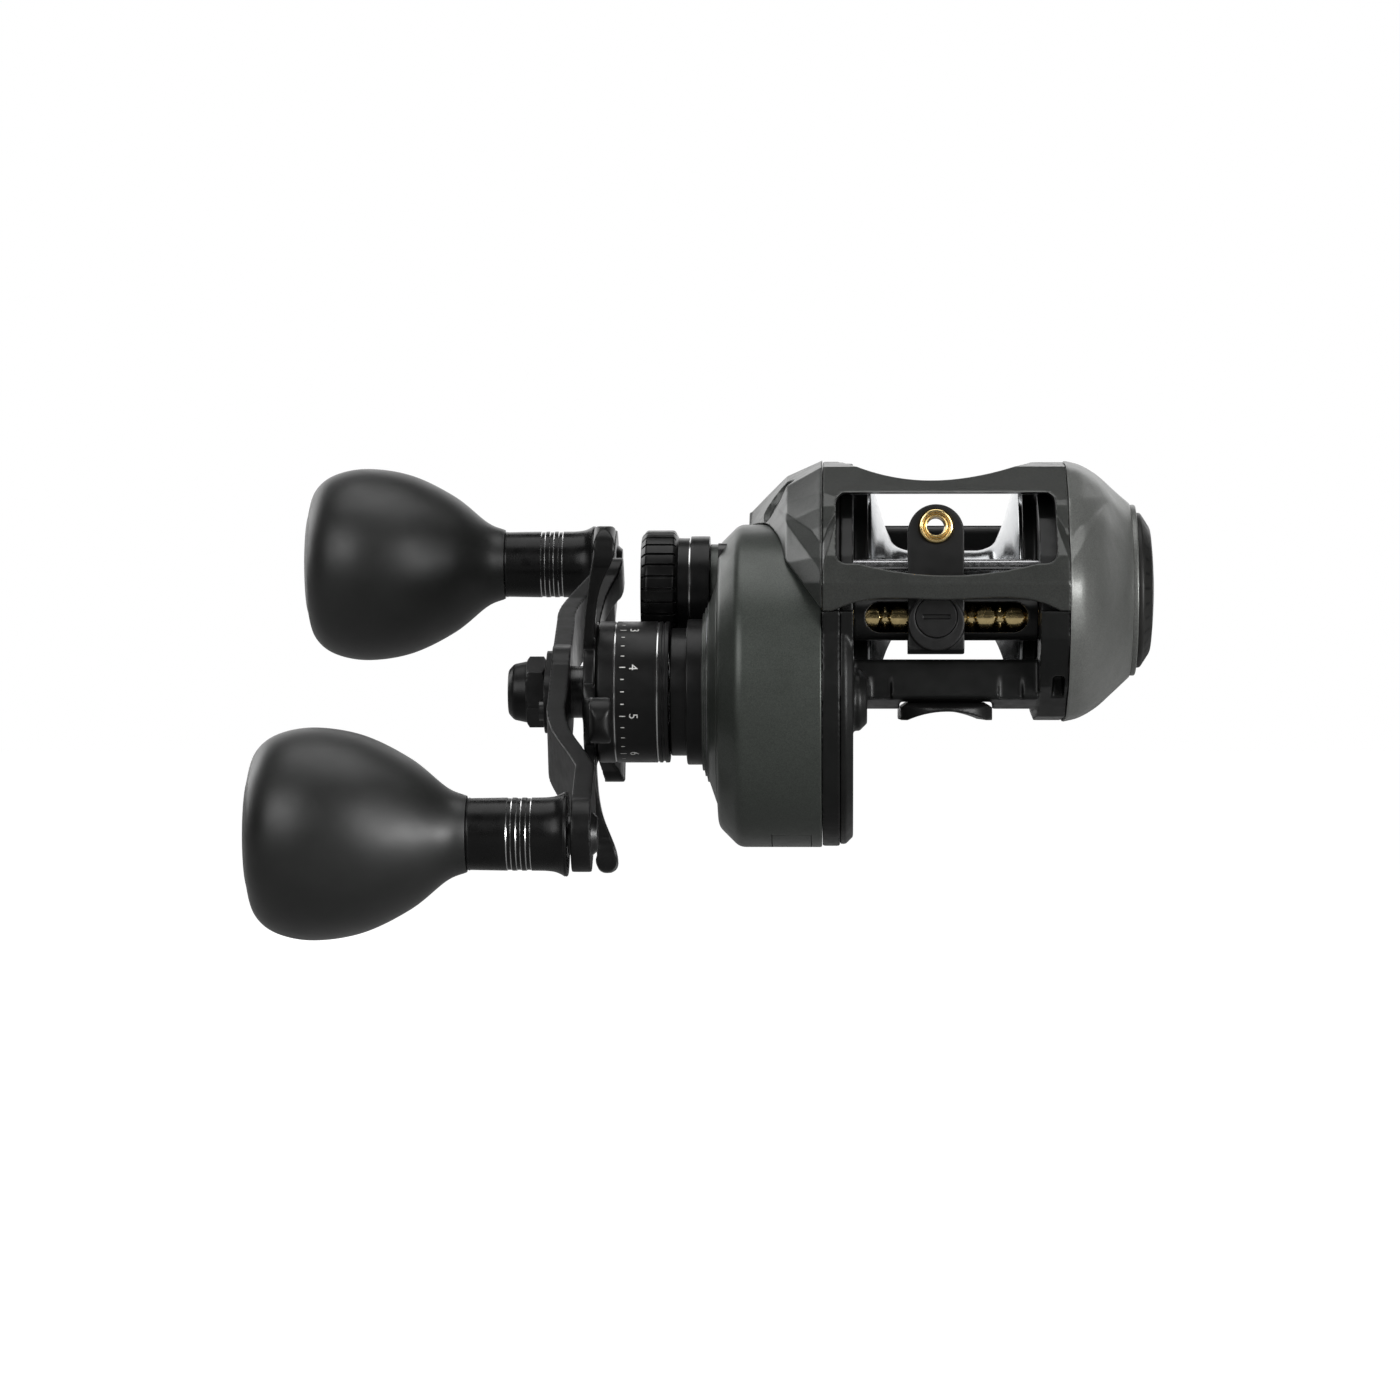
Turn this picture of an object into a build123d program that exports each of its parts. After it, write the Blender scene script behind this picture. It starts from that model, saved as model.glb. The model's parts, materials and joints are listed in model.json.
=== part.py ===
from build123d import *

import os
from math import atan2, cos, degrees, pi, radians, sin, sqrt, tan

# Low-profile baitcasting reel, right-hand wind, as an assembly of separate parts.
#
# Units are millimetres. +Z points up, away from the rod. -Y is the front, where the line leaves.
# The crank is on the -X side, and every shaft lies along X. The origin is the middle of the
# foot's seat, in the plane of its two side lands.

# ---------------------------------------------------------------- driving dimensions

# Gears, all of one module
MODULE = 0.6
PRESSURE_ANGLE = radians(25)
ADDENDUM = 0.8 * MODULE
DEDENDUM = 1.1 * MODULE
TOOTH_THINNING = 0.06
MAIN_TEETH = 63
PINION_TEETH = 10
COG_TEETH = 34
WORM_GEAR_TEETH = 22

# Shaft axes, each as (y, z)
SPOOL_AXIS = (2.0, 21.2)
DRIVE_Z = 4.5
WORM_Z = 16.3
MAIN_CENTRES = MODULE * (MAIN_TEETH + PINION_TEETH) / 2
COG_CENTRES = MODULE * (COG_TEETH + WORM_GEAR_TEETH) / 2
DRIVE_AXIS = (SPOOL_AXIS[0] - sqrt(MAIN_CENTRES**2 - (SPOOL_AXIS[1] - DRIVE_Z) ** 2), DRIVE_Z)
WORM_AXIS = (DRIVE_AXIS[0] - sqrt(COG_CENTRES**2 - (WORM_Z - DRIVE_Z) ** 2), WORM_Z)

# Stations along X, from the crank side to the palm side
COVER_OUT = -36.5
COVER_SEAM = -19.8
BASE_OUT, BASE_FLOOR = -19.7, -17.9
LEFT_OUT, LEFT_IN = -16.9, -14.8
RIGHT_IN, RIGHT_OUT = 14.6, 19.2
PALM_SEAM = 19.3
PALM_OUT = 31.2

# Fits and walls
RUNNING = 0.05
FITTED = 0.15
WALL = 1.7

# Gear housing, round about its own centre
HOUSING = (-9.5, 5.5)
HOUSING_R = 26.1
HOUSING_BEVEL = 3.4

# Spool
SPOOL_R = 17.8
SPOOL_HALF = 13.0
SPOOL_HOLE_R = SPOOL_R + 0.8
ARBOR_R = 6.5
RING_WALL = 1.8
RIM_WALL = 0.8
PIN_X, PIN_R, PIN_LENGTH = -17.95, 0.6, 5.6
MAGNETS = 6

# Foot
FOOT_WIDTH = 14.5
FOOT_LENGTH = 63.0
FOOT_TOP = 2.9
FOOT_SCREW_Y = (-12.0, 12.5)
FOOT_PADS = ((-19.0, -6.0), (8.0, 17.5))
SEAT_HALF = 6.2
SEAT_DEPTH = 1.35
SEAT_R = (SEAT_HALF**2 + SEAT_DEPTH**2) / (2 * SEAT_DEPTH)
SCREW_HEAD_Z = SEAT_DEPTH + 0.1

# Crank, knobs and star
CRANK_R = 48.5
CRANK_ANGLE = 26.7
BLADE_THICK = 3.0
BLADE_MID = -63.2
BLADE_END = -57.8
NUT_FLATS = 10.0
LOCK_SCREW = (0.0, 6.6, 0.8)  # place on the blade and shank radius
SHAFT_R = 3.0
KNOB_BASE, KNOB_SEAM, KNOB_TIP = -58.4, -73.9, -107.4
KNOB_PIN_R = 2.0
STAR_ARMS = 5
STAR_FIRST_ANGLE = 190.0
STAR_R = 29.4
COLLAR_R = 11.4

# Line guide and its worm
GUIDE_X = -1.7
GUIDE_HALF = 4.45
GUIDE_Y = (-27.2, -20.9)
RING_Z = 30.7
ARCH_Z = 29.75
TUBE_R = 3.65
TUBE_BORE = 2.6
WORM_R = 2.1
WORM_PITCH = 8.0
ROD_AXIS = (-24.1, 24.6)
ROD_R = 0.95

# Thumb bar and clutch
THUMB_TRAVEL = 4.0
LUG_Y = (21.8, 24.2)
LUG_Z = (25.4, 29.4)
SPRING_REACH = 9.0
SPRING_SEAT = -29.9

# Side outline of the body, as (y, z) corners from the nose over the top to the tail
OUTLINE = [
    (-36.4, 21.5), (-34.9, 25.8), (-27.9, 34.2), (-17.2, 40.6), (-5.0, 42.2), (8.0, 40.8),
    (20.0, 35.2), (29.0, 26.2), (31.0, 17.0), (26.0, 7.5), (15.0, 1.0), (0.0, -0.4),
    (-16.0, 0.2), (-27.0, 5.0), (-34.0, 12.5),
]  # fmt: skip

# Nose cover: its lower edge, then its inner face as (y, z) corners from bottom to back
NOSE_BOTTOM_Z = 17.2
NOSE_BACK_Y = -8.5
NOSE_INNER = [(-32.7, NOSE_BOTTOM_Z), (-33.0, 22.3), (-30.6, 26.0), (-24.8, 32.2), (-17.4, 36.3)]

# Both side covers taper from the outline to a ring about the spool axis, as (x, taper)
SIDE_RING_R = 13.3
PALM_TAPER = [(PALM_SEAM, 0.0), (24.6, 0.3), (27.3, 0.62), (30.6, 1.0)]
SHOULDER_TAPER = [(COVER_SEAM, 0.0), (-25.5, 0.3), (-28.6, 0.66), (-31.4, 1.0)]


# ---------------------------------------------------------------- helpers


def save(name, *shapes):
    """Writes one part, of one or more solids, to its STEP file."""
    solids = [solid for shape in shapes for solid in shape.solids()]
    whole = solids[0] if len(solids) == 1 else Compound(children=solids)
    export_step(whole, f"parts/{name}.step")


def across(x):
    """Sketch plane at a station along X, whose own axes are +Y and +Z."""
    return Plane(origin=(x, 0, 0), x_dir=(0, 1, 0), z_dir=(1, 0, 0))


def facing(y):
    """Sketch plane seen from the front at a station along Y, whose own axes are +X and +Z."""
    return Plane(origin=(0, y, 0), x_dir=(1, 0, 0), z_dir=(0, -1, 0))


def polygon(points, radius=0.0):
    """A face from its corners, which are rounded if a radius is given."""
    face = make_face(Polyline(*points, close=True))
    return fillet(face.vertices(), radius) if radius else face


def slab(face, x0, x1):
    """A face drawn in Y and Z, carried along X from x0 to x1."""
    return extrude(across(x0) * face, amount=x1 - x0)


def rod(x0, x1, radius, axis, bore=0.0):
    """A cylinder along X, or a tube if it has a bore."""
    disc = Circle(radius) - Circle(bore) if bore else Circle(radius)
    return slab(Pos(*axis) * disc, x0, x1)


def turned(edges, axis):
    """A solid turned about an axis along X, from the edges or (x, radius) corners of its section."""
    face = make_face(edges) if isinstance(edges[0], Edge) else polygon(edges)
    return Pos(0, *axis) * revolve(face, axis=Axis.X)


def front_block(face, y0, y1):
    """A face drawn in X and Z, carried along Y from y0 to y1."""
    return extrude(facing(y1) * face, amount=y1 - y0)


def box(x, y, z):
    """A box from its (low, high) spans."""
    spans = (x, y, z)
    size = [high - low for low, high in spans]
    middle = [(high + low) / 2 for low, high in spans]
    return Pos(*middle) * Box(*size)


def about(axis, angle, shape):
    """A shape turned by an angle about the line along X through (y, z)."""
    return Pos(0, *axis) * Rot(X=angle) * Pos(0, -axis[0], -axis[1]) * shape


def heading(start, end):
    """Direction from one (y, z) point to another, in degrees from +Y towards +Z."""
    return degrees(atan2(end[1] - start[1], end[0] - start[0]))


def polar(axis, radius, angle):
    """The (y, z) point at a radius and direction from an axis."""
    turn = radians(angle)
    return (axis[0] + radius * cos(turn), axis[1] + radius * sin(turn))


# Cover screws about the housing, and posts for the clutch springs on a line across the yoke
COVER_SCREWS = [polar(HOUSING, 22.1, angle) for angle in (110, -20, -62)]
CLUTCH_LINE = heading(DRIVE_AXIS, SPOOL_AXIS) + 90
SPRING_POSTS = [polar(SPOOL_AXIS, reach, CLUTCH_LINE) for reach in (-SPRING_REACH, SPRING_REACH)]


def tooth_half_angle(radius, base, half_at_pitch):
    """Half the angle that a tooth spans at a radius, for involute flanks."""
    flank = sqrt(max(0.0, (radius / base) ** 2 - 1))
    return half_at_pitch + tan(PRESSURE_ANGLE) - PRESSURE_ANGLE - flank + atan2(flank, 1)


def gear(x0, x1, teeth, axis, tooth_at, bore):
    """A spur gear along X with the middle of one tooth in the direction tooth_at."""
    pitch = MODULE * teeth / 2
    base, tip, root = pitch * cos(PRESSURE_ANGLE), pitch + ADDENDUM, pitch - DEDENDUM
    half_at_pitch = pi / (2 * teeth) - TOOTH_THINNING / (2 * pitch)
    low = max(base, root)
    flank = [(r, tooth_half_angle(r, base, half_at_pitch)) for r in (low, (low + tip) / 2, tip)]

    def point(radius, angle):
        return (radius * cos(angle), radius * sin(angle))

    edges = []
    for k in range(teeth):
        centre = 2 * pi * k / teeth
        rise = [point(r, centre - half) for r, half in flank]
        fall = [point(r, centre + half) for r, half in reversed(flank)]
        foot_in, foot_out = point(root, centre - flank[0][1]), point(root, centre + flank[0][1])
        foot_next = point(root, centre + 2 * pi / teeth - flank[0][1])
        if low > root:
            edges += [Line(foot_in, rise[0]), Line(fall[-1], foot_out)]
        edges += [ThreePointArc(*rise), Line(rise[-1], fall[0]), ThreePointArc(*fall)]
        edges.append(Line(foot_out, foot_next))
    return slab(Pos(*axis) * Rot(Z=tooth_at) * (make_face(edges) - Circle(bore)), x0, x1)


def coil(x0, x1, turns, radius, wire, axis):
    """A compression spring along X."""
    pitch = (x1 - x0 - 2 * wire) / turns
    path = Helix(pitch=pitch, height=pitch * turns, radius=radius)
    section = Plane(origin=path @ 0, z_dir=path % 0) * Circle(wire)
    return Pos(x0 + wire, *axis) * Rot(Y=90) * sweep(section, path=path)


def bearing(x0, x1, radius, bore, axis):
    """A ball bearing: two races with a shallow channel between them on both faces."""
    middle = (radius + bore) / 2
    channel = 0.18 * (radius - bore)
    ring = rod(x0, x1, radius, axis, bore)
    for face_x in (x0, x1):
        ring -= rod(face_x - 0.2, face_x + 0.2, middle + channel, axis, middle - channel)
    return ring


def socket_screw(x0, x1, head, head_r, shank_r, at, socket):
    """A screw along X with its head at x0 and a hexagon socket."""
    screw = rod(x0, x0 + head, head_r, at) + rod(x0 + head, x1, shank_r, at)
    return screw - slab(Pos(*at) * RegularPolygon(socket, 6), x0 - 1, x0 + 0.6 * head)


# ---------------------------------------------------------------- outlines shared by the shells


def nose_section():
    """Section of the nose cover in Y and Z, a band that follows the body's outline."""
    top_y = NOSE_BACK_Y
    (y3, z3), (y4, z4) = OUTLINE[3:5]
    outer_top = (top_y, z3 + (z4 - z3) * (top_y - y3) / (y4 - y3))
    (y0, z0), (y1, z1) = OUTLINE[0], OUTLINE[-1]
    outer_low = (y0 + (y1 - y0) * (NOSE_BOTTOM_Z - z0) / (z1 - z0), NOSE_BOTTOM_Z)
    inner = NOSE_INNER + [(top_y, 36.7)]
    return polygon([outer_low] + OUTLINE[:4] + [outer_top] + inner[::-1])


def plate_outline(inset):
    """Outline of a frame plate, recessed where the nose cover lies over it."""
    room = offset(nose_section(), amount=FITTED, kind=Kind.INTERSECTION)
    room -= Pos(*SPOOL_AXIS) * Circle(SPOOL_HOLE_R + RING_WALL)
    return offset(polygon(OUTLINE), amount=-inset, kind=Kind.INTERSECTION) - room


def gear_side_outline(inset):
    """The plate outline joined to the round gear housing."""
    return plate_outline(inset) + Pos(*HOUSING) * Circle(HOUSING_R - inset)


def tapered(taper, inset):
    """The body's outline drawn in towards the ring about the spool axis."""
    points = []
    for corner in OUTLINE:
        y, z = polar(SPOOL_AXIS, SIDE_RING_R, heading(SPOOL_AXIS, corner))
        y, z = corner[0] + taper * (y - corner[0]), corner[1] + taper * (z - corner[1])
        reach = sqrt((y - SPOOL_AXIS[0]) ** 2 + (z - SPOOL_AXIS[1]) ** 2)
        points.append(polar(SPOOL_AXIS, reach - inset, heading(SPOOL_AXIS, (y, z))))
    return polygon(points)


def side_dome(stations, inset, end_x):
    """The faceted side form, closed off at end_x by its own ring."""
    stations = stations + [(end_x, stations[-1][1])]
    return loft([across(x) * tapered(taper, inset) for x, taper in stations], ruled=True)


# ---------------------------------------------------------------- frame and foot


def make_foot():
    """Saddle foot whose two tabs slide under the hoods of a reel seat."""
    half, end = FOOT_WIDTH / 2, FOOT_LENGTH / 2
    section = polygon([(-half, 0), (half, 0), (half, 2.0), (6.0, FOOT_TOP), (-6.0, FOOT_TOP), (-half, 2.0)])
    foot = front_block(section, -end, end)
    foot -= front_block(Pos(0, SEAT_DEPTH - SEAT_R) * Circle(SEAT_R), -end - 1, end + 1)
    for side in (-1, 1):
        ramp = polygon([(side * 21, FOOT_TOP + 1), (side * 21, FOOT_TOP), (side * end, 1.95), (side * end, 5)])
        foot -= slab(ramp, -half - 1, half + 1)
    plan = extrude(SlotOverall(FOOT_LENGTH, FOOT_WIDTH, rotation=90), amount=6, both=True)
    foot = foot & plan
    for y in FOOT_SCREW_Y:
        foot -= Pos(0, y, 0) * Cylinder(1.1, 12)
        foot -= Pos(0, y, SCREW_HEAD_Z + 0.4) * Cone(2.0, 1.1, 0.8)
        foot -= Pos(0, y, SCREW_HEAD_Z - 1) * Cylinder(2.0, 2)
    return foot


def make_foot_screws():
    """Two countersunk screws that hold the foot to the frame's spine."""
    screws = []
    for y in FOOT_SCREW_Y:
        head = Pos(0, y, SCREW_HEAD_Z + 0.4) * Cone(1.95, 1.05, 0.8)
        shank = Pos(0, y, SCREW_HEAD_Z + 2.2) * Cylinder(1.05, 3.0)
        screws.append(head + shank - Pos(0, y, SCREW_HEAD_Z) * Box(2.4, 0.5, 0.5))
    return screws


def make_frame():
    """One-piece frame: gear-side plate, palm-side ring, cross bars, spine and boss."""
    left = slab(gear_side_outline(0.5), LEFT_OUT, LEFT_IN)
    left = chamfer(left.faces().sort_by(Axis.X)[-1].edges().sort_by(Axis.Z)[0], 1.2)
    left += rod(LEFT_IN, -12.4, SPOOL_HOLE_R + RIM_WALL, SPOOL_AXIS, SPOOL_R + 0.3)
    right = slab(plate_outline(0.3), RIGHT_IN, RIGHT_OUT)
    right += rod(12.4, RIGHT_IN, SPOOL_HOLE_R + RIM_WALL, SPOOL_AXIS)
    right -= rod(12, 20, SPOOL_HOLE_R, SPOOL_AXIS)
    rim_room = slab(offset(nose_section(), amount=FITTED, kind=Kind.INTERSECTION), -20, 20)
    rims = rod(-LEFT_IN, 12.4, 25, SPOOL_AXIS) + rod(LEFT_IN, -12.4, 25, SPOOL_AXIS)
    frame = left + right - (rim_room & rims)

    front_bar = slab(polygon([(-25.2, 3.4), (-17, 1.6), (-16, 9.4), (-23.6, 9.7)], 0.8), LEFT_IN, RIGHT_IN)
    rear_bar = slab(polygon([(16.5, 2.4), (22.2, 6.6), (20.6, 9.6), (15.8, 5.6)], 0.8), LEFT_IN, RIGHT_IN)
    frame += front_bar + rear_bar
    for span in FOOT_PADS:
        pad = box((-SEAT_HALF, SEAT_HALF), span, (FOOT_TOP, FOOT_TOP + 2.6))
        frame += pad - rod(-20, 20, SPOOL_R + 0.5, SPOOL_AXIS)
    frame -= box((-FOOT_WIDTH / 2 - FITTED, FOOT_WIDTH / 2 + FITTED), (-35, 35), (-5, FOOT_TOP))
    frame += turned([(LEFT_OUT, 0), (LEFT_OUT, 4.9), (-13.8, 4.9), (-12.6, 3.7), (-12.6, 0)], (-26.2, 3.2))

    frame -= rod(-17, -14, 3.6, SPOOL_AXIS)
    frame -= rod(-17.5, -15, 5.0, DRIVE_AXIS)
    frame -= rod(-16.6, 16.6, ROD_R, ROD_AXIS)
    for x0, x1 in ((-17.5, -14), (14, 16.8)):
        frame -= rod(x0, x1, 3.0, WORM_AXIS)
        slot_y, slot_z = (LUG_Y[0] - FITTED, LUG_Y[1] + FITTED), (LUG_Z[0] - THUMB_TRAVEL - 0.4, LUG_Z[1] + 0.4)
        frame -= box((x0, x1), slot_y, slot_z)
    frame -= box((16.7, 18.6), (-40, -23), (2.4, 7))
    for y in FOOT_SCREW_Y:
        frame -= Pos(0, y, FOOT_TOP) * Cylinder(1.05, 4.5)
    for at in COVER_SCREWS:
        frame -= rod(-18, -15.4, 1.05, at)
    return frame


def make_gear_side_base():
    """Tray between the frame plate and the gear cover, with posts for the clutch springs."""
    base = slab(gear_side_outline(0.2), BASE_OUT, LEFT_OUT)
    base -= slab(gear_side_outline(0.2 + WALL), BASE_OUT - 1, BASE_FLOOR)
    base -= rod(-20, -16, 3.6, SPOOL_AXIS)
    base -= rod(-20, -16, 5.0, DRIVE_AXIS)
    base -= rod(-20, -16, 2.0, WORM_AXIS)
    base -= box((-20, -16), (LUG_Y[0] - 0.3, LUG_Y[1] + 0.3), (LUG_Z[0] - THUMB_TRAVEL - 0.6, LUG_Z[1] + 0.6))
    for at in SPRING_POSTS:
        base += rod(-29.6, BASE_FLOOR, 1.1, at)
    for at in COVER_SCREWS:
        base += rod(BASE_OUT, BASE_FLOOR, 2.4, at)
        base -= rod(-20, -16, 1.15, at)
    return base


# ---------------------------------------------------------------- covers


def panel_sector(radius, bore, gap):
    """A curved patch low on the front of the gear housing."""
    ring = rod(-27.9 + gap, -21.4 - gap, radius, HOUSING, bore)
    return ring & slab(polygon([HOUSING] + [polar(HOUSING, 40, a) for a in (246 + 2 * gap, 268 - 2 * gap)]), -30, -20)


def make_gear_cover():
    """Round gear housing with the shoulder of the drive shaft and the stub of the cast cap."""
    drum_in = HOUSING_R - WALL
    cover = turned(
        [(COVER_SEAM, 0), (COVER_SEAM, HOUSING_R), (COVER_OUT + HOUSING_BEVEL, HOUSING_R),
         (COVER_OUT, HOUSING_R - HOUSING_BEVEL), (COVER_OUT, 0)],
        HOUSING,
    )  # fmt: skip
    cover += turned([(-34, 0), (-34, 18.3), (-36.8, 18.3), (-39, 11.9), (-39, 0)], DRIVE_AXIS)
    cover -= rod(-38.7, -38.3, 30, DRIVE_AXIS, 13.0)
    cover += rod(-41.5, -39, 11.75, DRIVE_AXIS) + rod(-44.1, -41.5, 10.3, DRIVE_AXIS)
    cover += rod(-38.1, -34, 7.6, SPOOL_AXIS) + rod(-44.4, -38.1, 6.2, SPOOL_AXIS)
    cover -= turned(
        [(COVER_SEAM + 1, 0), (COVER_SEAM + 1, drum_in), (-33, drum_in), (-34.8, drum_in - 1.8), (-34.8, 0)],
        HOUSING,
    )
    cover += rod(-34.8, -33.4, 5.6, SPOOL_AXIS)
    for at in SPRING_POSTS:
        cover += rod(-34.8, SPRING_SEAT, 2.2, at)
    for at in COVER_SCREWS:
        cover += rod(-35, COVER_SEAM, 2.4, at)
        cover -= rod(-40, -15, 1.15, at) + rod(-40, -35.0, 2.2, at)
    cover -= rod(-50, -38.1, 9.2, SPOOL_AXIS, 6.2)
    cover -= rod(-50, -38, 4.0, SPOOL_AXIS) + rod(-39, -33, 3.5, SPOOL_AXIS)
    cover -= rod(-36.5, -33, 4.0, SPOOL_AXIS)
    cover -= rod(-42.5, -33, 8.0, DRIVE_AXIS) + rod(-50, -42, 5.3, DRIVE_AXIS)
    cover -= panel_sector(HOUSING_R + 1, HOUSING_R - 0.8, 0.0)
    return cover


def make_cover_screws():
    return [socket_screw(-36.4, -15.6, 1.4, 2.1, 1.05, at, 1.2) for at in COVER_SCREWS]


def below_shoulder():
    """Everything below the slanted front edge where the shoulder cover meets the gear cover."""
    wedge = polygon([(-45, 52), (-31.4, 33.2), (COVER_SEAM, NOSE_BOTTOM_Z + 0.3), (-10, 4), (-10, -40), (-45, -40)])
    return front_block(wedge, -60, HOUSING[0])


def make_shoulder_cover():
    """Hollow shoulder above the gear housing, with a shallow oval recess on its top bevel."""
    end_x = SHOULDER_TAPER[-1][0] - 0.3
    shell = side_dome(SHOULDER_TAPER, 0, end_x)
    shell -= side_dome([(x + 0.1 if x == COVER_SEAM else x, t) for x, t in SHOULDER_TAPER], WALL, end_x + WALL)
    shell -= rod(-50, 0, HOUSING_R + FITTED, HOUSING)
    shell -= below_shoulder()
    facet = Plane(origin=(-28.4, -6.0, 38.4), x_dir=(0, 1, 0), z_dir=(-0.66, -0.1, 0.75))
    shell -= facet * Pos(0, 0, -0.8) * extrude(Ellipse(3.6, 2.4), amount=4)
    return max(shell.solids(), key=lambda solid: solid.volume)


def make_nose_cover():
    """Front bridge over the line guide: a band with a window, scooped on top."""
    nose = slab(nose_section(), BASE_OUT, RIGHT_OUT)
    window = Pos(-0.2, 30.4) * RectangleRounded(34.8, 11.6, 1.8)
    nose -= front_block(window, -50, 0)
    sill = make_face([
        ThreePointArc((-17.2, 25.6), (-0.4, 22.7), (16.8, 25.4)), Polyline((16.8, 25.4), (16.8, 30), (-17.2, 30)),
        Line((-17.2, 30), (-17.2, 25.6)),
    ])  # fmt: skip
    nose -= front_block(sill, -50, -26)
    scoop = make_face([
        Spline((-17.5, 42.3), (-12.0, 39.8), (-4.5, 38.3), (5.0, 39.0), (15.5, 42.3)),
        Polyline((15.5, 42.3), (15.5, 50), (-17.5, 50), (-17.5, 42.3)),
    ])  # fmt: skip
    nose -= front_block(scoop, -50, 0)
    lower = make_face([
        Spline((-18.4, 17.0), (-14.5, 18.5), (0, 18.9), (14.5, 18.5), (17.9, 17.0)),
        Polyline((17.9, 17.0), (17.9, 10), (-18.4, 10), (-18.4, 17.0)),
    ])  # fmt: skip
    nose -= front_block(lower, -50, 0)
    for x0, x1 in ((-21, -12.2), (12.2, 21)):
        nose -= rod(x0, x1, SPOOL_HOLE_R + RING_WALL + FITTED, SPOOL_AXIS)
    return nose


def make_palm_plate():
    """Palm-side cover: hollow faceted dome, spigot, raised ring and bearing hub."""
    plate = side_dome(PALM_TAPER, 0, PALM_OUT)
    plate += rod(28, PALM_OUT + 0.1, 14.0, SPOOL_AXIS)
    plate -= side_dome([(PALM_SEAM, 0.0)] + PALM_TAPER[1:], WALL + 0.1, PALM_OUT - WALL) & rod(
        PALM_SEAM - 1, PALM_OUT - WALL, 60, SPOOL_AXIS
    )
    plate += rod(16.8, PALM_SEAM + 1.2, 18.35, SPOOL_AXIS, 16.9)
    web = slab(tapered(0, 1) - Pos(*SPOOL_AXIS) * Circle(16.9), PALM_SEAM, PALM_SEAM + 1.2)
    plate += web
    plate += rod(19.2, PALM_OUT - 1, 6.4, SPOOL_AXIS) - rod(19, 23.6, 5.0, SPOOL_AXIS)
    plate -= rod(18, 26, 2.2, SPOOL_AXIS)
    plate -= rod(27, 40, 2.6, SPOOL_AXIS)
    return plate


def make_brake_dial():
    """Brake dial with a conical rim, a shallow dome and a stem into the palm plate."""
    dial = turned(
        [(28.6, 0), (28.6, 2.55), (31.35, 2.55), (31.35, 12.7), (32.1, 12.7), (33.7, 10.2), (33.7, 0)],
        SPOOL_AXIS,
    )
    cap_r = (10.2**2 + 0.6**2) / (2 * 0.6)
    centre_x = 34.3 - cap_r
    cap = [Line((33.7, 0), (34.3, 0)), ThreePointArc((34.3, 0), (centre_x + sqrt(cap_r**2 - 36), 6), (33.7, 10.2))]
    dial += turned(cap + [Line((33.7, 10.2), (33.7, 0))], SPOOL_AXIS)
    for k in range(30):
        notch = box((32.2, 34), (SPOOL_AXIS[0] + 10.6, SPOOL_AXIS[0] + 13), (SPOOL_AXIS[1] - 0.3, SPOOL_AXIS[1] + 0.3))
        dial -= about(SPOOL_AXIS, 12 * k, notch & rod(32.3, 34, 12.9, SPOOL_AXIS))
    return dial


def magnet_spots():
    return [polar(SPOOL_AXIS, 8.4, 360 * k / MAGNETS) for k in range(MAGNETS)]


def make_magnet_carrier():
    """Ring that holds the brake magnets and slides on the palm plate's hub."""
    ring = rod(18, 19.4, 10.5, SPOOL_AXIS, 6.4 + RUNNING) + rod(19.4, 24, 7.6, SPOOL_AXIS, 6.4 + RUNNING)
    for at in magnet_spots():
        ring -= rod(17, 18.6, 1.4, at)
    return ring


def make_magnets():
    return [rod(15.4, 18.6, 1.4, at) for at in magnet_spots()]


# ---------------------------------------------------------------- spool


def mirrored(points):
    """The same section points on the other side of the spool's middle, in reverse order."""
    return [(-x, r) for x, r in reversed(points)]


def make_spool():
    """Spool: thin flanges, flared arbor and hollowed ends."""
    outer = [(SPOOL_HALF, SPOOL_R), (11.9, SPOOL_R), (11.0, 15.3), (9.5, 10.2)]
    hollow = [(8.2, 2.0), (8.2, 5.9), (10.9, 10.4), (12.3, 15.6), (SPOOL_HALF, 16.6)]
    edges = [
        Polyline(*outer),
        ThreePointArc(outer[-1], (8.3, 7.5), (6.0, ARBOR_R)),
        Line((6.0, ARBOR_R), (-6.0, ARBOR_R)),
        ThreePointArc((-6.0, ARBOR_R), (-8.3, 7.5), mirrored(outer)[0]),
        Polyline(*mirrored(outer)),
        Polyline(mirrored(outer)[-1], *mirrored(hollow)),
        Line(mirrored(hollow)[-1], hollow[0]),
        Polyline(*hollow, outer[0]),
    ]
    spool = turned([edge for wire in edges for edge in wire.edges()], SPOOL_AXIS)
    for k in range(12):
        spool -= rod(9, 14, 1.1, polar(SPOOL_AXIS, 13.4, 30 * k))
        spool -= rod(-14, -9, 1.1, polar(SPOOL_AXIS, 13.4, 30 * k))
    return spool


def make_spool_shaft():
    """Spool shaft, stepped down at both ends, with the cross pin that the pinion drives."""
    shaft = rod(-46.9, 23.9, 1.5, SPOOL_AXIS) + rod(-14, 12, 2.0, SPOOL_AXIS)
    return shaft + Pos(PIN_X, *SPOOL_AXIS) * Cylinder(PIN_R, PIN_LENGTH)


def make_brake_rotor():
    """Thin cup that turns between the hub and the magnets."""
    return rod(8.2, 9.2, 5.85, SPOOL_AXIS, 2.0) + rod(9.2, 17.3, 5.85, SPOOL_AXIS, 5.0)


# ---------------------------------------------------------------- gear train and clutch


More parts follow.
